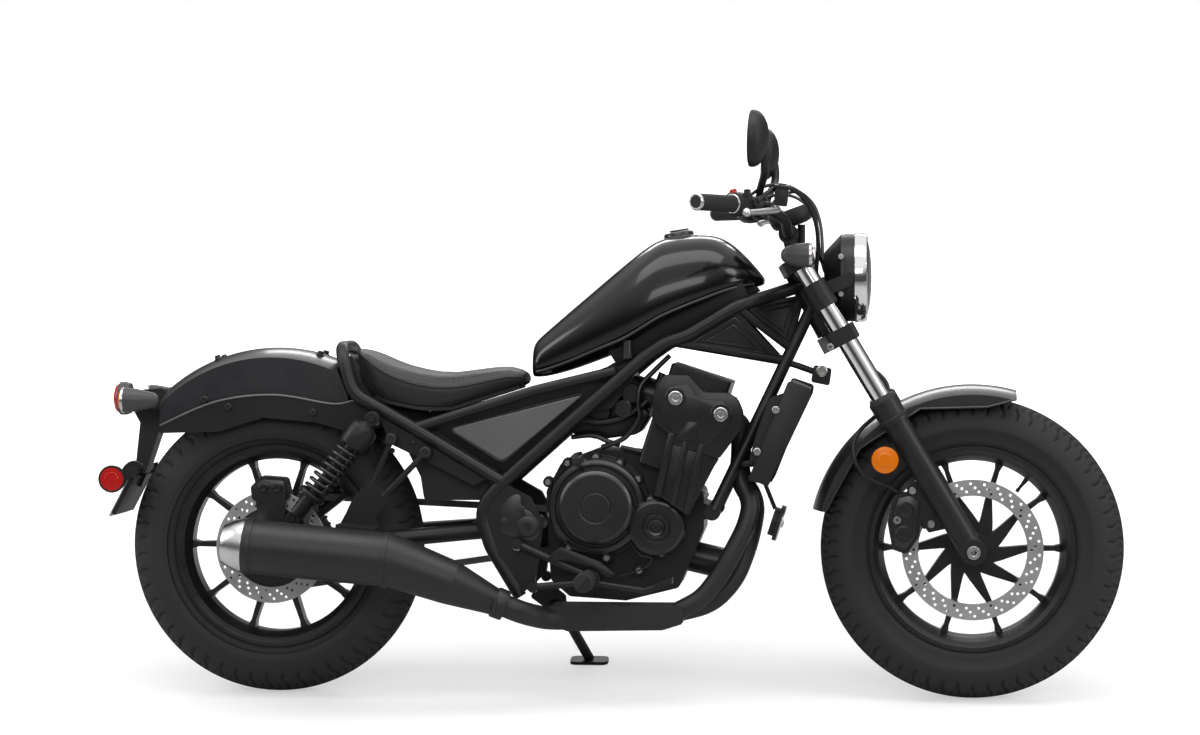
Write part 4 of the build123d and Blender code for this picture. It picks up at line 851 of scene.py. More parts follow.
# x, radius, height of the middle
BOWL_RINGS = [(1177, 20, 909), (1177, 38, 908), (1180, 44, 906), (1208, 84, 896), (1215, 90, 893.5),
              (1222, 93, 893), (1244, 93, 893)]
bowl_form = bmesh.new()
loft(bowl_form, [[(x, y, z) for y, z in circle(0, middle, radius, 56)] for x, radius, middle in BOWL_RINGS])
piece("headlight_bowl", bowl_form, "powder_black", "steering", angle=40)
rim_form = bmesh.new()
RIM_PROFILE = [(-16, 91), (-16, 94), (-12, 95), (4, 94.5), (9, 92), (11, 88), (9, 85), (2, 84), (-16, 84)]
lathe(rim_form, (LAMP_X, 0, LAMP_Z), AHEAD, RIM_PROFILE, 72, wrap=True)
piece("headlight_rim", rim_form, "chrome_plate", "steering")
glass_form = bmesh.new()
GLASS_PROFILE = [(2, 84), (8, 84), (12, 76), (16, 56), (18.5, 30), (19.3, 0)]
lathe(glass_form, (LAMP_X, 0, LAMP_Z), AHEAD, GLASS_PROFILE, 72)
piece("headlight_lens", glass_form, "lens_clear", "steering", ["headlight_glass"], angle=60)
reflector_form = bmesh.new()
REFLECTOR_PROFILE = [(1, 84), (0.5, 80), (-12, 66), (-13, 64), (-14, 60), (-26, 40), (-34, 20), (-36, 0)]
lathe(reflector_form, (LAMP_X, 0, LAMP_Z), AHEAD, REFLECTOR_PROFILE, 72)
piece("headlight_reflector", reflector_form, "chrome_plate", "steering", angle=20)
inner_form = bmesh.new()
for number in range(4):
    turn = math.tau * (number + 0.5) / 4
    centre = Vector((LAMP_X - 22, 40 * math.cos(turn), LAMP_Z + 40 * math.sin(turn)))
    lathe(inner_form, centre, AHEAD, [(0, 25), (18, 25), (20, 24), (20, 21), (12, 19), (10, 0)], 32)
bar_outline = [(LAMP_X - 30, LAMP_Z - 3), (LAMP_X - 2, LAMP_Z - 3), (LAMP_X - 2, LAMP_Z + 3),
               (LAMP_X - 30, LAMP_Z + 3)]
plate(inner_form, bar_outline, -66, 66, 1)
piece("headlight_lamps", inner_form, "cap_steel", "steering")
print("headlight built")

# %% [markdown]
# ## Turn signals, tail lamp and reflectors
#
# The signals are small bullets with a lens at the wide end, so one lathe profile serves them all. The
# front pair faces ahead, and the rear pair faces behind with a slightly wider, longer body. A lens
# could be painted on, but as a separate piece of coloured glass it catches the light as a lens does.

# %% Front signals
BULLET = [(-60, 0), (-59, 7), (-55, 13), (-46, 18.5), (-32, 22.8), (-14, 25.4), (0, 26), (0, 24)]
signal_shell, signal_rim, signal_lens = bmesh.new(), bmesh.new(), bmesh.new()
for side in (-1, 1):
    front = Vector((1150, side * 190, 938))
    lathe(signal_shell, front, AHEAD, BULLET, 40)
    lathe(signal_rim, front, AHEAD, [(-1, 26.4), (3, 26.8), (4.5, 26), (4.5, 23.5), (-1, 23.5)], 40,
          wrap=True)
    lathe(signal_lens, front, AHEAD, [(1, 23.6), (2.6, 23), (4, 16), (4.6, 8), (4.8, 0)], 40)
    signal_stalk = [(1124, side * 138, 920), (1123, side * 158, 929), (1121, side * 172, 936)]
    tube(signal_shell, smooth(signal_stalk), 7.5, 16)
piece("front_signal_shells", signal_shell, "smoke_grey", "steering", ["front_signals"])
piece("front_signal_rims", signal_rim, "cap_steel", "steering")
piece("front_signal_lenses", signal_lens, "lens_amber", "steering", angle=60)
print("front signals built")

# %% Tail lamp and rear signals
tail_shell, tail_rim, tail_lens, tail_amber = bmesh.new(), bmesh.new(), bmesh.new(), bmesh.new()
for side in (-1, 1):
    rear = Vector((-312, side * 118, 632))
    lathe(tail_shell, rear, BEHIND,
          [(-74, 0), (-73, 8), (-66, 15)] + [(a * 0.95, r * 1.03) for a, r in BULLET[4:]], 40)
    lathe(tail_rim, rear, BEHIND, [(-1, 27.2), (3, 27.6), (4.5, 26.8), (4.5, 24), (-1, 24)], 40, wrap=True)
    lathe(tail_amber, rear, BEHIND, [(1, 24.2), (5, 23.8), (10, 18), (12.5, 9), (13, 0)], 40)
    tube(tail_shell, [(-286, side * 45, 632), (-286, side * 96, 632)], 8, 18)
lathe(tail_shell, (-326, 0, 632), BEHIND, [(0, 0), (0, 33), (10, 36), (22, 36), (24, 33)], 48)
lathe(tail_lens, (-340, 0, 632), BEHIND, [(0, 33), (10, 33), (17, 28), (21, 16), (22, 0)], 48)
piece("rear_signal_shells", tail_shell, "smoke_grey", "chassis", ["rear_lamps"])
piece("rear_signal_rims", tail_rim, "cap_steel", "chassis")
piece("rear_signal_lenses", tail_amber, "lens_amber", "chassis", angle=60)
piece("tail_lens", tail_lens, "lens_red", "chassis", angle=60)
print("tail lamp and rear signals built")

# %% Side reflectors
reflector_dish, reflector_red, reflector_amber = bmesh.new(), bmesh.new(), bmesh.new()
RED_PROFILE = [(0, 25.5), (2.5, 25), (3.5, 16), (3.5, 15), (4.6, 14), (4.6, 0)]
DISH_PROFILE = [(-1, 0), (-1, 28), (3, 29.5), (6, 29), (6, 25.5), (4, 25)]
for side in (-1, 1):
    lathe(reflector_dish, (-343, side * 102, 462), (0, side, 0), DISH_PROFILE, 48)
    lathe(reflector_red, (-343, side * 105, 462), (0, side, 0), RED_PROFILE, 48)
piece("side_reflector_dishes", reflector_dish, "plastic_black", "chassis")
piece("side_reflectors_red", reflector_red, "lens_red", "chassis")
AMBER_PROFILE = [(-12, 0), (-12, 9), (-2, 9), (-2, 27), (4, 28), (6, 27), (7.5, 16), (7.6, 15), (8.6, 14),
                 (8.8, 0)]
for side in (-1, 1):
    lathe(reflector_amber, (1306, side * 146, 512), (0, side, 0), AMBER_PROFILE, 48)
piece("fork_reflectors_amber", reflector_amber, "lens_amber", "steering")
print("reflectors built")

# %% Blank plate
PLATE_PLACE = Matrix.Translation((-329, 0, 429)) @ Matrix.Rotation(math.radians(28), 4, "Y")
plate_outline = rounded([(-89, -55), (89, -55), (89, 47), (-89, 47)], 12)
screws = [circle(side * 73, 30, 3.5, 16) for side in (-1, 1)]
blank = bmesh.new()
upright = Matrix.Translation((0.7, 0, 0)) @ Matrix.Rotation(QUARTER_TURN, 4, "Z") @ SIDEWAYS
add(blank, punched(plate_outline, screws, 2.0), PLATE_PLACE @ upright)
add(blank, punched(rounded([(-85, -51), (85, -51), (85, 43), (-85, 43)], 10),
                   [rounded([(-82, -48), (82, -48), (82, 40), (-82, 40)], 8)], 1.2),
    PLATE_PLACE @ Matrix.Translation((-1.2, 0, 0)) @ upright)
piece("blank_plate", blank, "plate_blank", "chassis", ["number_plate"])
print("plate built")

# %% [markdown]
# ## Handlebar: grips, levers, switches, mirrors and dial
#
# Grips, switches and clamps sit on the sloping outer part of the bar. They could be given places in
# X, Y and Z, but a fitter measures in from the bar's end, so `on_bar` turns that distance into a
# place on either side. The levers, mirrors and reservoir stand clear of the bar and have places of
# their own.

# %% Places on the bar
BAR_BEND, BAR_END = Vector((1052, 216, 1040)), Vector((926, 398, 1042))
BAR_RUN = (BAR_END - BAR_BEND).normalized()


def on_bar(inward, side=1, lift=(0, 0, 0)):
    """A place on the bar's middle line, this far in from its end, moved by lift."""
    place = BAR_END - BAR_RUN * inward + Vector(lift)
    return Vector((place.x, side * place.y, place.z))


def inwards(side):
    """The direction along the bar from its end."""
    return Vector((-BAR_RUN.x, -side * BAR_RUN.y, -BAR_RUN.z))


print("sloping run of the bar:", round((BAR_END - BAR_BEND).length), "mm")

# %% Grips and their end rings
RIB_COUNT, RIB_PITCH = 22, 4.9
SLEEVE_END_PROFILE = [(1.5, 0), (0.5, 9), (0, 13.4), (2, 13.4)]
OUTER_RING_PROFILE = [(0, 13), (-1, 13.5), (-1, 15.6), (1, 17.6), (4, 18), (5, 17.4), (5, 13)]
INNER_RING_PROFILE = [(118, 11.4), (118, 19), (120, 20.5), (123, 20), (124, 18), (124, 11.4)]
rubber, rings = bmesh.new(), bmesh.new()
for side in (-1, 1):
    ribbed = [(7, 11.4), (7, 17)]
    for rib in range(RIB_COUNT):
        start = 9 + rib * RIB_PITCH
        ribbed += [(start, 17.2), (start + 3.6, 17.2), (start + 4.0, 16.5), (start + 4.5, 16.5)]
    lathe(rubber, on_bar(0, side), inwards(side), ribbed + [(118, 17.2), (118, 11.4)], 32)
    lathe(rings, on_bar(0, side), inwards(side), OUTER_RING_PROFILE, 40, wrap=True)
    lathe(rings, on_bar(0, side), inwards(side), INNER_RING_PROFILE, 40)
    lathe(rubber, on_bar(0, side), inwards(side), SLEEVE_END_PROFILE, 32)
piece("grip_sleeves", rubber, "grip_rubber", "steering", ["grips_and_controls"])
piece("grip_end_rings", rings, "cap_steel", "steering")
print("grips built")

# %% Switch housings
HOUSING_PROFILE = [(124.5, 11.4), (124.5, 21), (127, 24), (143, 25), (160, 24), (166, 20), (168, 11.4)]
CLAMP_PROFILE = [(170, 11.4), (170, 17), (172, 18.5), (186, 18.5), (188, 17), (188, 11.4)]
# distance in from the bar's end, forward, up, radius, height
BUTTONS = [(136, -16, 18, 6, 4), (150, -18, 16, 5, 4), (146, -22, 4, 4, 4)]
housings = bmesh.new()
for side in (-1, 1):
    lathe(housings, on_bar(0, side), inwards(side), HOUSING_PROFILE, 28)
    lathe(housings, on_bar(0, side), inwards(side), CLAMP_PROFILE, 28)
    perch = [on_bar(178, side), on_bar(170, side, (18, 4, 2)), on_bar(158, side, (34, 8, 3))]
    tube(housings, smooth(perch), [15] * 7 + [13] * 5 + [10], 16)
    pivot_arm = [on_bar(178, side, (4, 0, -2)), (1056, side * 248, 1036), (1080, side * 262, 1033)]
    tube(housings, smooth(pivot_arm), [15] * 6 + [12] * 6 + [10], 16)
    for inward, forward, up, radius, tall in BUTTONS:
        base = on_bar(inward, side, (forward * 0.7, -4, up * 0.7))
        button = [(0, radius + 2), (6, radius + 2), (7, radius), (7 + tall, radius), (8 + tall, 0)]
        lathe(housings, base, (forward, 0, up), button, 20)
    if side < 0:
        lathe(housings, on_bar(138, side, (-6, 0, 12)), (-0.3, 0, 1), [(0, 12), (9, 11.5), (11, 9)], 24)
piece("control_housings", housings, "plastic_black", "steering", angle=45)
print("housings built")

# %% Levers and stop button
levers, reds = bmesh.new(), bmesh.new()
LEVER_ROOT, LEVER_TAPER = 7.8, 2.6
BALL_PROFILE = [(-9.5, 0), (-8.5, 4), (-5, 8), (0, 9.4), (5, 8), (8.5, 4), (9.5, 0)]
for side in (-1, 1):
    lever_line = [(1078, side * 262, 1033), (1086, side * 286, 1029), (1072, side * 318, 1026),
                  (1052, side * 350, 1023), (1036, side * 376, 1021), (1028, side * 388, 1020)]
    drawn = smooth(lever_line)
    tube(levers, drawn, [LEVER_ROOT - LEVER_TAPER * n / (len(drawn) - 1) for n in range(len(drawn))], 14)
    lathe(levers, (1028, side * 390, 1020), inwards(side), BALL_PROFILE, 24)
piece("control_levers", levers, "brushed_steel", "steering", angle=60)
lathe(reds, on_bar(138, -1, (-6, 0, 17)), (-0.3, 0, 1), [(4, 0), (4, 7.5), (12, 7.5), (14, 6), (14.5, 0)], 24)
piece("stop_button", reds, "switch_red", "steering")
print("levers built")

# %% Brake reservoir and mirror clamps
reservoir = bmesh.new()
reservoir_outline = rounded([(1078, 1040), (1104, 1037), (1108, 1072), (1080, 1075)], 5)
plate(reservoir, reservoir_outline, -262, -214, 2.5)
lid_outline = [(1077, 1074), (1110, 1071), (1111, 1078), (1078, 1081)]
plate(reservoir, rounded(lid_outline, 2, 2), -265, -211, 1.5)
for side in (-1, 1):
    lathe(reservoir, on_bar(152, side, (12, 10, 8)), UP,
          [(0, 0), (0, 9), (12, 9), (13, 7.5), (22, 7.2), (23, 0)], 6)
piece("brake_reservoir", reservoir, "plastic_black", "steering")
bolts_form = bmesh.new()
for x, y in ((1084, -256), (1104, -220)):
    lathe(bolts_form, (x, y, 1079), UP, [(0, 4), (2.4, 4), (3, 3), (3, 1.6), (2, 0)], 16)
piece("reservoir_screws", bolts_form, "bolt_zinc", "steering")
print("reservoir built")

# %% Mirrors
mirror_shells, mirror_glasses = bmesh.new(), bmesh.new()
MIRROR_PROFILE = [(-10, 51), (-12, 54), (-11, 57), (-7, 58.5), (0, 58), (8, 54), (16, 45), (23, 31), (27, 14),
                  (28, 0)]
MIRROR_CLAMP_PROFILE = [(-12, 0), (-12, 15), (-9, 17), (9, 17), (12, 15), (12, 0)]
for side in (-1, 1):
    facing = Vector((0.98, side * 0.06, -0.04)).normalized()
    centre = Vector((1043, side * 336, 1172))
    lathe(mirror_shells, centre, facing, MIRROR_PROFILE, 56)
    lathe(mirror_glasses, centre, facing, [(-9.5, 51.5), (-10.2, 30), (-10.4, 0)], 56)
    stalk = [Vector((1046, side * 230, 1050)), Vector((1050, side * 244, 1074)),
             Vector((1058, side * 276, 1096)), Vector((1062, side * 312, 1112)),
             Vector((1062, side * 330, 1132)), Vector((1058, side * 334, 1160))]
    drawn = smooth(stalk)
    tube(mirror_shells, drawn, [7 + 3 * n / (len(drawn) - 1) for n in range(len(drawn))], 16)
    lathe(mirror_shells, Vector((1048, side * 222, 1044)), (0, 1, 0), MIRROR_CLAMP_PROFILE, 24)
piece("mirror_shells", mirror_shells, "plastic_black", "steering", ["mirrors"], angle=50)
piece("mirror_glasses", mirror_glasses, "mirror_glass", "steering", angle=60)
print("mirrors built")

# %% Dial
dial_axis = Vector((-0.35, 0, 0.937)).normalized()
# The steering axis meets the ground line at STEERING_FOOT; the dial stands ahead of it on a post.
STEERING_FOOT, DIAL_HEIGHT, DIAL_AHEAD, DIAL_LIFT = 1600, 985, 36, 21.1
dial_base = Vector((STEERING_FOOT - math.tan(RAKE) * DIAL_HEIGHT + DIAL_AHEAD, 0, DIAL_HEIGHT + DIAL_LIFT))
shell, face_form, marks, lens_form = bmesh.new(), bmesh.new(), bmesh.new(), bmesh.new()
DIAL_PROFILE = [(-3, 0), (-3, 30), (0, 40), (6, 45), (14, 47), (29, 48), (32, 47), (32, 42), (30, 41),
                (28, 41)]
lathe(shell, dial_base, dial_axis, DIAL_PROFILE, 64)
lathe(face_form, dial_base, dial_axis, [(28.5, 42), (29, 0)], 64)
lathe(lens_form, dial_base, dial_axis, [(30.5, 41.5), (32, 24), (32.3, 0)], 64)
along, first, second = oriented(dial_axis)
for number in range(28):
    turn = math.tau * (0.1 + 0.8 * number / 27)
    out = first * math.cos(turn) + second * math.sin(turn)
    start, end = (33 if number % 3 else 30), 38
    tube(marks, [dial_base + along * 29.4 + out * start, dial_base + along * 29.4 + out * end], 0.6, 6)
post_x = dial_base.x + 16
tube(shell, [(post_x, 0, 936), (post_x, 0, 1006)], 8.2, 20)
piece("dial_shell", shell, "plastic_black", "steering", ["dial"])
piece("dial_face_disc", face_form, "dial_face", "steering")
piece("dial_marks", marks, "dial_mark", "steering")
piece("dial_lens", lens_form, "lens_clear", "steering", angle=60)
print("dial built")

# %% [markdown]
# ## Engine
#
# The right side shows three layers: the cylinder with its end plate, the head cover above it, and
# the round clutch and timing covers below. Sculpting would give softer castings, but these are
# machined faces with crisp steps, so plates come from outlines and covers from the lathe.

# %% Cylinder and head
engine_form = bmesh.new()
head_outline = [(834, 677), (846, 689), (897, 688), (913, 669), (928, 652), (979, 652), (1000, 639),
                (1012, 610), (1008, 576), (983, 543), (960, 512), (850, 548), (853, 564), (819, 593),
                (821, 644)]
barrel_outline = [(853, 566), (914, 546), (960, 512), (949, 496), (895, 391), (823, 442), (838, 500)]
plate(engine_form, rounded(head_outline, 8), -139, -129, 3)
cover_outline = [(848, 662), (896, 672), (920, 638), (970, 636), (988, 612), (980, 582), (938, 540),
                 (866, 566), (836, 604)]
plate(engine_form, rounded(cover_outline, 10), -143, -138, 2.5)
plate(engine_form, rounded(barrel_outline, 6), -132, -111, 2)
for rib in ([(853, 566), (868, 566), (838, 432), (823, 434)],
            [(886, 556), (898, 552), (868, 412), (856, 418)],
            [(918, 544), (933, 544), (899, 398), (884, 400)]):
    plate(engine_form, rounded(rib, 3, 2), -140, -130, 1.5)
sensor_outline = [(895, 591), (914, 589), (914, 551), (868, 551)]
plate(engine_form, rounded(sensor_outline, 5, 3), -146, -134, 2)
CAM_ENDS = ((869, 640), (964, 606))
for x, z in CAM_ENDS:
    lathe(engine_form, (x, -138, z), RIGHT, [(0, 24), (5, 23), (7, 21), (7, 15)], 40)
piece("cylinder_side", engine_form, "engine_black", "chassis")
caps_form = bmesh.new()
for x, z in CAM_ENDS:
    lathe(caps_form, (x, -144, z), RIGHT, [(0, 15), (4, 15), (5.5, 13.5), (5.5, 7), (3, 6), (3, 0)], 36)
piece("cam_caps", caps_form, "cap_steel", "chassis")
print("cylinder and head built")

# %% Clutch and timing covers
COVER_BOLTS = [(637, 500), (697, 513), (748, 501), (786, 467), (596, 460), (601, 392), (813, 424), (867, 405),
               (878, 352), (837, 311), (789, 274), (640, 322), (720, 300)]
COVER_FACE = -78
covers_form = bmesh.new()
CLUTCH_PROFILE = [(0, 110), (8, 110), (9, 109), (9, 103), (30, 103), (35, 99), (37, 94), (37, 88), (34, 86),
                  (34, 80), (56, 79), (62, 77), (66, 73), (68, 69), (68, 34), (66.5, 32.5), (66.5, 30.5),
                  (68, 29), (68, 0)]
lathe(covers_form, (700, COVER_FACE, 409), RIGHT, CLUTCH_PROFILE, 96)
TIMING_PROFILE = [(0, 60), (34, 60), (38, 58), (40.5, 54), (41, 50), (41, 32), (38.5, 30), (38.5, 28),
                  (41, 26), (41, 20), (37, 17), (36, 12), (38, 10), (38, 0)]
lathe(covers_form, (826, COVER_FACE, 366), RIGHT, TIMING_PROFILE, 72)
OIL_CAP_PROFILE = [(0, 19), (14, 19), (16, 17), (30, 16), (32, 14), (32, 0)]
lathe(covers_form, (668, -96, 491), (-0.35, -0.45, 0.82), OIL_CAP_PROFILE, 6)
for x, z in COVER_BOLTS:
    lathe(covers_form, (x, COVER_FACE, z), RIGHT, [(0, 12), (22, 11), (24, 9.5), (24, 0)], 24)
seam = [(x, -106, z)
        for x, z in ((652, 322), (689, 308), (730, 322), (765, 338), (791, 308), (816, 300), (799, 279),
                     (748, 262))]
tube(covers_form, smooth(seam), 2.2, 8)
piece("engine_side_covers", covers_form, "cover_black", "chassis", ["engine_covers"], angle=26)
print("covers built")

# %% Bolts on the engine
engine_bolts = bmesh.new()
for x, z in COVER_BOLTS:
    lathe(engine_bolts, (x, COVER_FACE - 24, z), RIGHT, [(0, 6.2), (4, 6.2), (5, 5.4), (5, 3.2), (2.5, 3)],
          24)
    lathe(engine_bolts, (x, COVER_FACE - 26.5, z), RIGHT, [(0, 3), (0.2, 0)], 6)
piece("engine_bolts", engine_bolts, "bolt_zinc", "chassis")
bright_form = bmesh.new()
for x, y, z, r in ((947, -96, 400, 11), (930, -92, 435, 6), (533, -126, 326, 9), (569, -120, 237, 8)):
    head = [(0, r * 1.25), (3, r * 1.25), (3, r), (9, r), (10, r * 0.8), (10, r * 0.5), (6, r * 0.48)]
    lathe(bright_form, (x, y, z), RIGHT, head, 6 if r < 10 else 12)
    lathe(bright_form, (x, y - 6, z), RIGHT, [(0, r * 0.48), (0.2, 0)], 12)
piece("mount_bolts", bright_form, "bolt_zinc", "chassis")
print("cover bolts:", len(COVER_BOLTS))

# %% Left covers and wires
left_form = bmesh.new()
GENERATOR_X, GENERATOR_Z = 800, 400
GENERATOR_PROFILE = [(0, 84), (36, 84), (40, 81), (40, 66), (60, 66), (64, 64), (66, 60), (66, 42), (64, 40),
                     (64, 36), (66, 34), (66, 0)]
lathe(left_form, (GENERATOR_X, 78, GENERATOR_Z), LEFT, GENERATOR_PROFILE, 80)
for number in range(7):
    turn = math.tau * (number + 0.4) / 7
    lathe(left_form, (GENERATOR_X + 78 * math.cos(turn), 78, GENERATOR_Z + 78 * math.sin(turn)), LEFT,
          [(0, 10), (42, 9.5), (44, 7.5), (44, 0)], 20)
wires = [[(851, -60, 727), (818, -76, 694), (792, -86, 664), (786, -90, 626), (788, -88, 597),
          (758, -86, 554), (708, -80, 533)],
         [(643, -70, 554), (689, -76, 558), (723, -78, 545), (745, -70, 538)],
         [(750, -80, 533), (792, -92, 525), (826, -100, 517)]]
for wire_line in wires:
    tube(left_form, smooth(wire_line), 5.5, 14)
lathe(left_form, (755, -82, 616), RIGHT, [(-30, 16), (0, 19), (10, 19), (12, 16), (12, 0)], 32)
piece("engine_left_and_wires", left_form, "cover_black", "chassis")
print("left cover and wires built")

# %% [markdown]
# ## Exhaust
#
# The muffler is a rolled steel can, and its CAD shape is right as it is. Only what a plain cylinder
# lacks is added: thin bands turned over it for the rolled seams and the clamp, and a steel end cap
# with a rounded shoulder and a dark bore. A flat heel guard goes ahead of it.

# %% Muffler trim and end cap
MUFFLER_FRONT, MUFFLER_REAR = Vector((276, -210, 301)), Vector((-30, -210, 329))
AFT = (MUFFLER_REAR - MUFFLER_FRONT).normalized()
muffler_form = bmesh.new()
lathe(muffler_form, MUFFLER_FRONT, AFT, [(4, 56.5), (4, 58.6), (8, 59), (14, 58.6), (14, 56.5)], 80,
      wrap=True)
lathe(muffler_form, MUFFLER_REAR, AFT, [(-16, 56.5), (-16, 58.6), (-12, 59.2), (0, 59.2), (2, 58), (2, 56)],
      80, wrap=True)
inlet = Vector((500, -168, 208))
feed = (MUFFLER_FRONT - inlet).normalized()
lathe(muffler_form, inlet, feed, [(-14, 27), (-14, 31.5), (-10, 32.5), (8, 33), (12, 31), (12, 28)], 56,
      wrap=True)
tube(muffler_form, [inlet + Vector((-4, -30, 12)), inlet + Vector((-10, -34, -16))], 5, 14)
piece("muffler_bands", muffler_form, "heat_black", "chassis")
tip_form = bmesh.new()
END_CAP_PROFILE = [(1, 56), (2, 58), (8, 57.8), (26, 52), (42, 44), (48, 40.5), (49.5, 38), (49, 35),
                   (45, 31), (38, 28), (36, 24.5)]
lathe(tip_form, MUFFLER_REAR, AFT, END_CAP_PROFILE, 80)
piece("muffler_end_cap", tip_form, "cap_steel", "chassis", ["muffler_tip"], angle=24)
bore_form = bmesh.new()
OUTLET_PROFILE = [(37, 28), (52, 26.5), (53, 25.5), (52, 24), (16, 24), (15, 0)]
lathe(bore_form, MUFFLER_REAR, AFT, OUTLET_PROFILE, 56)
slant = Vector((-0.86, -0.5, 0.08)).normalized()
outlet = MUFFLER_REAR + AFT * 32 + Vector((0, -18, 0))
lathe(bore_form, outlet, slant, [(0, 0), (0, 20), (12, 21), (13, 20), (13, 18.5), (4, 18), (4, 0)], 56)
piece("muffler_outlet", bore_form, "core_black", "chassis")
guard_form = bmesh.new()
guard_outline = [(601, 304), (627, 327), (710, 296), (744, 270), (727, 262), (694, 283), (639, 300),
                 (614, 296)]
plate(guard_form, rounded(guard_outline, 4, 3), -152, -146, 1.5)
piece("heel_guard", guard_form, "powder_black", "chassis")
print("exhaust trim built")

# %% [markdown]
# ## Radiator, intake and harness
#
# A radiator's core is a stack of thin fins crossed by small tubes, with a panel on each side of it. A
# striped texture would look flat from the side, so the fins are real plates. The intake, the starter
# and their hoses fill the dark space behind the frame, and a tray closes the tank from below.

# %% Radiator
TOP_END, LOW_END = Vector((1122, 0, 664)), Vector((1042, 0, 464))
FIN_COUNT, FIN_PITCH, FIN_START, FIN_HALF = 46, 4.1, 14, 1.1
TUBE_COUNT, TUBE_PITCH = 20, 14
panel_form, fins_form = bmesh.new(), bmesh.new()
side_outline = rounded([(1105, 677), (1153, 661), (1151, 644), (1063, 459), (1021, 468)], 7)
for low_y, high_y in ((-157, -150), (150, 157)):
    plate(panel_form, side_outline, low_y, high_y, 2)
along_core = (TOP_END - LOW_END).normalized()
out_core = Vector((along_core.z, 0, -along_core.x))
for number in range(FIN_COUNT):
    middle = LOW_END + along_core * (FIN_START + number * FIN_PITCH) + out_core * 23
    corners = [middle + along_core * side * FIN_HALF + out_core * depth
               for side, depth in ((-1, -2), (1, -2), (1, 2), (-1, 2))]
    plate(fins_form, [(corner.x, corner.z) for corner in corners], -140, 140, 0)
for number in range(TUBE_COUNT):
    y = TUBE_PITCH * (number - (TUBE_COUNT - 1) / 2)
    tube(fins_form, [LOW_END + out_core * 24 + along_core * 10 + Vector((0, y, 0)),
                     LOW_END + out_core * 24 + along_core * 202 + Vector((0, y, 0))], 2.2, 6)
piece("radiator_panels", panel_form, "plastic_black", "chassis")
piece("radiator_fins", fins_form, "core_black", "chassis")
print("radiator core:", FIN_COUNT, "fins and", TUBE_COUNT, "tubes")

# %% Horn, screws and bracket
horn_form, screws_form = bmesh.new(), bmesh.new()
horn_axis = Vector((0.95, 0, -0.31)).normalized()
horn_back = Vector((LOW_END.x + 24, -20, 376))
lathe(horn_form, horn_back, horn_axis, [(20, 39.3), (22, 38), (23, 34), (22, 31), (22, 0)], 48)
for x, z in ((1079, 616), (1040, 529)):
    lathe(screws_form, (x, -156, z), RIGHT, [(0, 8), (4, 8), (5.5, 6.5), (5.5, 3.4), (3, 3.2), (3, 0)], 24)
lathe(screws_form, horn_back, horn_axis, [(22, 9), (25, 8.6), (27, 5), (27, 0)], 6)
piece("horn_face", horn_form, "cap_steel", "chassis")
piece("radiator_screws", screws_form, "bolt_zinc", "chassis")
bracket_form = bmesh.new()
bracket_outline = [(1064, 640), (1118, 660), (1108, 600), (1058, 500), (1022, 505), (1036, 560)]
plate(bracket_form, rounded(bracket_outline, 8), -150, -140, 2)
piece("radiator_bracket", bracket_form, "core_black", "chassis")
print("horn and bracket built")

# %% Intake, starter and harness behind the frame
intake_form, tray_form = bmesh.new(), bmesh.new()
for side in (-1, 1):
    lathe(intake_form, (742, side * 46, 668), (0.95, 0, -0.32),
          [(-10, 0), (-10, 30), (8, 32), (16, 27), (46, 26), (54, 30), (80, 30), (84, 26), (96, 26)], 40)
    lathe(intake_form, (772, side * 84, 648), (0, side, 0), [(-24, 0), (-24, 22), (0, 22), (4, 19), (4, 0)],
          32)
    lathe(intake_form, (700, side * 60, 610), (0, side, 0), [(-30, 0), (-30, 28), (6, 28), (10, 24), (10, 0)],
          32)
starter_outline = [(640, 604), (700, 640), (770, 636), (812, 604), (786, 560), (700, 548), (640, 560)]
plate(intake_form, rounded(starter_outline, 14), -58, 58, 5)
thick_hose = [(650, -66, 600), (700, -74, 586), (760, -72, 600), (812, -64, 640), (836, -58, 690)]
tube(intake_form, smooth(thick_hose), 8, 14)
thin_hose = [(636, -60, 640), (676, -72, 650), (724, -76, 700), (780, -70, 724)]
tube(intake_form, smooth(thin_hose), 6, 14)
piece("intake_and_starter", intake_form, "engine_black", "chassis")
# The fork's upper clamp sweeps past the tray's front corners, so the front is a narrower nose.
tray_outline = [(742, 706), (803, 738), (844, 764), (890, 780), (992, 840), (1020, 855), (1006, 883),
                (940, 866), (838, 822), (760, 768), (720, 742)]
nose_outline = [(992, 840), (1040, 865), (1024, 885), (980, 877)]
plate(tray_form, tray_outline, -92, 92, 3)
plate(tray_form, nose_outline, -58, 58, 3)
piece("tank_underside", tray_form, "core_black", "chassis")
print("intake built")

# %% [markdown]
# ## Shock absorbers
#
# A shock absorber is a damper inside a coil spring. A Screw modifier could wind the wire, but only
# about an object turned to the leaning damper, so each spring is one tube through points that a loop
# places round the damper's axis. The rod, the collar's rings and both flat seats are turned.

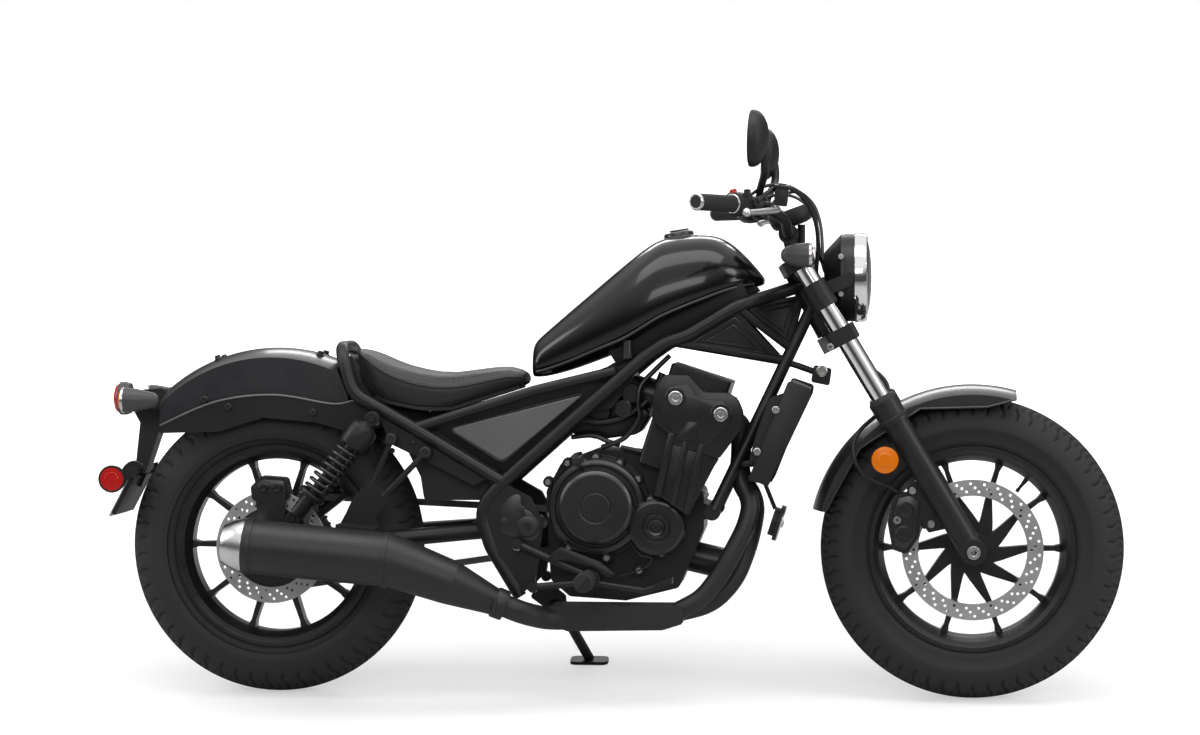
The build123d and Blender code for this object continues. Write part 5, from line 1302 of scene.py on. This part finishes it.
# %% Springs
shocks_form, spring_form, collar_form = bmesh.new(), bmesh.new(), bmesh.new()
TURNS, STEPS = 8.5, 26
COIL_START, COIL_LENGTH, COIL_RADIUS, WIRE_RADIUS = 72, 126, 25, 3.9
for side in (-1, 1):
    foot, head = Vector((58, side * 144, 382)), Vector((228, side * 144, 594))
    along, first, second = oriented(head - foot)
    coil = []
    for number in range(int(TURNS * STEPS) + 1):
        share = number / (TURNS * STEPS)
        turn = math.tau * TURNS * share
        out = first * math.cos(turn) + second * math.sin(turn)
        coil.append(foot + along * (COIL_START + COIL_LENGTH * share) + out * COIL_RADIUS)
    tube(spring_form, coil, WIRE_RADIUS, 8)
    for eye in (foot, head):
        lathe(shocks_form, eye, (0, 1, 0),
              [(-12, 7.3), (-12, 14.5), (-10, 16), (10, 16), (12, 14.5), (12, 7.3)], 40, wrap=True)
    lathe(shocks_form, foot, along, [(8, 0), (12, 16), (58, 16), (58, 18)], 40)
    lathe(shocks_form, foot, along, [(58, 14), (58, 28), (62, 30), (68, 30), (70, 28), (70, 14)], 48,
          wrap=True)
    lathe(shocks_form, foot, along,
          [(200, 16), (200, 29), (206, 31), (240, 31), (248, 28), (254, 18), (262, 10)], 48)
    lathe(collar_form, foot, along, [(66, 12), (200, 12)], 32)
    for start in (30, 38, 46):
        lathe(collar_form, foot, along, [(start, 15), (start, 17.5), (start + 4, 17.5), (start + 4, 15)], 40,
              wrap=True)
piece("shock_bodies", shocks_form, "powder_black", "chassis", ["shock_absorbers"])
piece("shock_springs", spring_form, "cover_black", "chassis", angle=60)
piece("shock_rods", collar_form, "powder_black", "chassis")
print("shocks built")

# %% [markdown]
# ## Side covers, bolts and fender edges
#
# Pressed sheet never ends in a bare edge: it is folded over into a bead. Folding the mesh would cost many
# faces, so thin tubes are drawn along the outlines of covers, stays and fenders instead. The beads on the
# stays are light grey, a painted highlight along their top edges. The bolts are turned, most of them with a
# sunken socket.

# %% Side covers
cover_faces, borders = bmesh.new(), bmesh.new()
triangle = [(384, 572), (676, 650), (500, 500)]
middle_x = sum(point[0] for point in triangle) / 3
middle_z = sum(point[1] for point in triangle) / 3
inner = [(middle_x + (x - middle_x) * 0.97, middle_z + (z - middle_z) * 0.94) for x, z in triangle]
for low_y, high_y in ((-113, -109), (109, 113)):
    plate(cover_faces, rounded(inner, 14), low_y, high_y, 1.8)
piece("side_cover_faces", cover_faces, "graphite", "chassis")
for side in (-1, 1):
    edge = smooth([(x, side * 111, z) for x, z in rounded(triangle, 16)], 1)
    tube(borders, edge + [edge[0]], 2.4, 8)
web_outline = [(345, 577), (560, 653), (742, 697), (690, 634), (507, 470)]
for low_y, high_y in ((-93, -80), (80, 93)):
    plate(borders, rounded(web_outline, 6, 3), low_y, high_y, 1.5)
inner_guard_outline = [(138, 690), (166, 728), (200, 692), (215, 642), (330, 602), (425, 640), (425, 592),
                       (300, 572), (190, 600)]
plate(borders, inner_guard_outline, -55, 55, 2)
piece("side_cover_borders", borders, "plastic_black", "chassis")
print("side covers built")

# %% Frame bolts
stay_bolts = bmesh.new()
for x, y, z in ((-91, 100, 617), (93, 100, 606), (-144, 94, 632)):
    for side in (-1, 1):
        lathe(stay_bolts, (x, side * y, z), (0, side, 0),
              [(-8, 0), (-8, 8), (2, 8), (4, 6.5), (4, 3.4), (2, 3.2), (2, 0)], 24)
for x, z in ((268, 552), (341, 524)):
    lathe(stay_bolts, (x, -151, z), RIGHT, [(0, 11.5), (4, 11.5), (5, 10), (5, 6.5), (2, 6), (2, 0)], 32)
for x, z in ((310, 545), (266, 526)):
    lathe(stay_bolts, (x, -119, z), RIGHT, [(0, 6), (2, 6), (3, 5), (3, 0)], 24)
FENDER_RADIUS, FENDER_MIDDLE = 356, 383
for turn in (110.6, 74.4):
    outward = (math.cos(math.radians(turn)), 0, math.sin(math.radians(turn)))
    for y in (-34, 34):
        place = (FENDER_RADIUS * outward[0], y, FENDER_MIDDLE + FENDER_RADIUS * outward[2])
        lathe(stay_bolts, place, outward,
              [(0, 0), (0, 9), (3, 9), (4, 6.5), (9, 6.5), (10.5, 5), (10.5, 3), (8, 2.6), (8, 0)], 24)
piece("frame_bolts", stay_bolts, "bolt_black", "chassis")
print("frame bolts built")

# %% Fender lips
lip_form, front_lip = bmesh.new(), bmesh.new()
rear_edge = [(-240, 569), (-112, 569), (-16, 599), (100, 589), (159, 575), (165, 640), (141, 698)]
front_edge = [(1581, 637), (1520, 621), (1380, 617), (1254, 533), (1181, 399)]
for side in (-1, 1):
    tube(lip_form, [(x, side * 90.5, z) for x, z in rear_edge], 2.6, 10)
    tube(front_lip, [(x, side * 74.5, z) for x, z in front_edge], 2.4, 10)
piece("rear_fender_lip", lip_form, "fender_black", "chassis", angle=60)
piece("front_fender_lip", front_lip, "fender_black", "steering", angle=60)
# Light grey beads along the stays' top edges: a painted highlight.
stay_edge = smooth([(-240, 577, 0), (-119, 628, 0), (8, 643, 0), (135, 624, 0), (190, 631, 0), (258, 604, 0)])
stay_highlight_form = bmesh.new()
for side in (-1, 1):
    tube(stay_highlight_form, [(point.x, side * 97.5, point.y) for point in stay_edge], 2.2, 8)
piece("stay_painted_highlight_beads", stay_highlight_form, "graphite", "chassis", angle=60)
print("fender lips built")

# %% [markdown]
# ## Peg rubbers, panel beads and pivot
#
# The cast pegs carry ribbed rubber pads, made here as one turned profile whose ribs come by a loop.
# The panels beside the steering head get raised beads, which are closed tubes along two smaller copies
# of each outline. The swingarm's pivot has a large nut on the left and a ring on the right.

# %% Peg rubbers
pads_form = bmesh.new()
PAD_RIBS, PAD_PITCH = 9, 8
for side in (-1, 1):
    ribbed = [(0, 17.4)]
    for number in range(PAD_RIBS):
        start = 2 + number * PAD_PITCH
        ribbed += [(start, 20.5), (start + 5, 20.5), (start + 6, 18.6), (start + 7.4, 18.6)]
    lathe(pads_form, (686, side * 192, 261), (0, side, 0), ribbed + [(76, 20.5), (78, 18), (78, 0)], 32)
piece("peg_rubbers", pads_form, "grip_rubber", "chassis")
print("peg rubbers built")

# %% Panel beads
panel_beads = bmesh.new()
BEAD_RADIUS = 2.6
for corners in ([(868, 111, 752), (992, 97, 826), (1092, 40, 719)],
                [(1000, 95, 830), (1106, 34, 745), (1136, 12, 858)]):
    middle = [sum(corner[axis] for corner in corners) / 3 for axis in range(3)]
    for side in (-1, 1):
        for share in (0.72, 0.46):
            ring = [Vector([middle[axis] + (corner[axis] - middle[axis]) * share for axis in range(3)])
                    for corner in corners]
            ring = [Vector((point.x, side * (point.y + BEAD_RADIUS), point.z)) for point in ring]
            tube(panel_beads, ring + [ring[0]], BEAD_RADIUS, 8)
piece("panel_beads", panel_beads, "cover_black", "chassis", angle=60)
print("panel beads built")

# %% Pivots
shield_form, pivots_form = bmesh.new(), bmesh.new()
PIVOT_PROFILE = [(0, 22), (8, 22), (10, 20), (12.5, 20), (13.5, 17), (13.5, 9), (11, 8.5), (11, 0)]
for side in (-1, 1):
    lathe(pivots_form, (556, side * 124, 367), (0, side, 0), PIVOT_PROFILE, 6 if side > 0 else 48)
    for x, z in ((543, 405), (506, 378)):
        lathe(pivots_form, (x, side * 124, z), (0, side, 0), [(0, 7), (4, 7), (5, 5.5), (5, 0)], 24)
pivot_outline = [(532, 437), (543, 431), (543, 408), (561, 399), (582, 374), (582, 349), (566, 336),
                 (538, 338), (498, 353), (494, 374), (496, 403), (515, 429)]
plate(shield_form, rounded(pivot_outline, 5, 3), -127, -123.5, 1.2)
piece("pivot_shields", shield_form, "cover_black", "chassis")
piece("pivot_bolts", pivots_form, "bolt_black", "chassis")
print("pivots built")

# %% [markdown]
# ## Wheel, brake and fork fittings
#
# Small parts make the wheels and the fork read as machined: axle ends, valve stems, the calipers'
# pistons and bolts, the fork's caps and seals, and the steering lock. Nearly all of them are round,
# so the lathe makes them quickly and with true edges for the light to catch.

# %% Hubs and axles
axle_form, rear_axle_form = bmesh.new(), bmesh.new()
AXLE_NUT_PROFILE = [(0, 18), (4, 18), (5, 16), (5, 14), (15, 13.6), (17, 12), (17, 6), (12, 5.5), (12, 0)]
AXLE_END_PROFILE = [(-2, 13.7), (6, 13.7), (8, 12.2), (8, 7.4), (2, 6.8)]
for side in (-1, 1):
    lathe(axle_form, (WHEELBASE, side * 143, FRONT_AXLE_HEIGHT), (0, side, 0), AXLE_END_PROFILE, 40)
    lathe(rear_axle_form, (0, side * 127, REAR_AXLE_HEIGHT), (0, side, 0), AXLE_NUT_PROFILE, 6)
piece("front_axle_ends", axle_form, "cap_steel", "steering")
piece("rear_axle_nuts", rear_axle_form, "cap_steel", "chassis")
VALVE_TURN, VALVE_SEAT = 0.9, 186
for name, x, z, body in (("front_valve", WHEELBASE, FRONT_AXLE_HEIGHT, "front_wheel"),
                         ("rear_valve", 0, REAR_AXLE_HEIGHT, "rear_wheel")):
    stem = bmesh.new()
    spot = Vector((x + VALVE_SEAT * math.cos(VALVE_TURN), 0, z + VALVE_SEAT * math.sin(VALVE_TURN)))
    inward = Vector((-math.cos(VALVE_TURN), 0.0, -math.sin(VALVE_TURN)))
    lathe(stem, spot, inward, [(-6, 6), (4, 5.2), (16, 3.6), (26, 3.2), (27, 4.2), (34, 4), (35, 0)], 16)
    piece(name, stem, "hose_rubber", body)
print("hubs built")

# %% Calipers
caliper_form, pins_form, rear_caliper_form = bmesh.new(), bmesh.new(), bmesh.new()
caliper_outline = [(1332, 430), (1360, 437), (1380, 420), (1372, 352), (1350, 322), (1326, 330), (1318, 376)]
plate(caliper_form, rounded(caliper_outline, 8), -106, -100, 2.5)
for x, z in ((1348, 404), (1346, 354)):
    lathe(caliper_form, (x, -100, z), RIGHT, [(0, 19), (8, 18), (10, 16), (10, 8), (8, 7), (8, 0)], 36)
piece("front_caliper_face", caliper_form, "cover_black", "steering")
for x, z in ((1364, 446), (1403, 376), (1332, 384)):
    lathe(pins_form, (x, -100, z), RIGHT, [(0, 8.5), (7, 8.5), (9, 7), (9, 4), (6, 3.8), (6, 0)], 24)
piece("front_caliper_bolts", pins_form, "bolt_zinc", "steering")
rear_caliper_outline = [(-36, 424), (-38, 446), (-18, 463), (30, 460), (38, 426)]
plate(rear_caliper_form, rounded(rear_caliper_outline, 7), -101, -95, 2)
for x in (-14, 16):
    lathe(rear_caliper_form, (x, -98, 444), RIGHT, [(0, 11), (6, 10.5), (8, 9), (8, 4), (6, 3.8), (6, 0)], 30)
piece("rear_caliper_face", rear_caliper_form, "cover_black", "chassis")
print("calipers built")

# %% Fork trim
FORK_HALF_SPREAD, FORK_TOP, SEAL_HEIGHT = 115, 944, 634
fork_form, seals_form = bmesh.new(), bmesh.new()
up_fork = Vector((fork_x(FORK_TOP) - fork_x(600), 0, FORK_TOP - 600)).normalized()
for side in (-1, 1):
    top = Vector((fork_x(FORK_TOP), side * FORK_HALF_SPREAD, FORK_TOP))
    lathe(fork_form, top, up_fork, [(-3, 20.8), (1, 21.2), (3, 19), (3, 12), (9, 12), (11, 9), (11, 0)], 6)
    foot = Vector((fork_x(SEAL_HEIGHT), side * FORK_HALF_SPREAD, SEAL_HEIGHT))
    lathe(seals_form, foot, up_fork, [(-2, 31.4), (2, 31.2), (7, 28), (9, 24), (10, 21)], 48)
    lathe(seals_form, foot, up_fork, [(-46, 31.2), (-44, 32), (-40, 32), (-38, 31.2)], 48, wrap=True)
piece("fork_caps", fork_form, "cap_steel", "steering")
piece("fork_seals", seals_form, "grip_rubber", "steering")
clamp_bolts = bmesh.new()
lathe(clamp_bolts, (1192, -150, 747), RIGHT, [(-10, 0), (-10, 8), (0, 8), (2, 6.5), (2, 3.4), (0, 3)], 20)
for z in (936, 858):
    lathe(clamp_bolts, (1213, -84, z), RIGHT, [(-6, 6), (3, 6), (4, 5), (4, 2.6), (2, 2.4), (2, 0)], 24)
piece("lamp_and_clamp_bolts", clamp_bolts, "bolt_zinc", "steering")
lock_form, key_form = bmesh.new(), bmesh.new()
lock_outline = [(1150, 672), (1156, 708), (1194, 700), (1189, 664)]
plate(lock_form, rounded(lock_outline, 6), -62, -20, 3)
tube(lock_form, [(1090, -32, 716), (1122, -38, 706), (1156, -40, 694)], 7, 16)
piece("steering_lock", lock_form, "plastic_black", "chassis")
lathe(key_form, (1173, -62, 695), RIGHT, [(-2, 12), (3, 12), (4.5, 10), (4.5, 6), (2, 5.5), (2, 0)], 32)
piece("key_ring", key_form, "bolt_zinc", "chassis")
print("fork trim built")
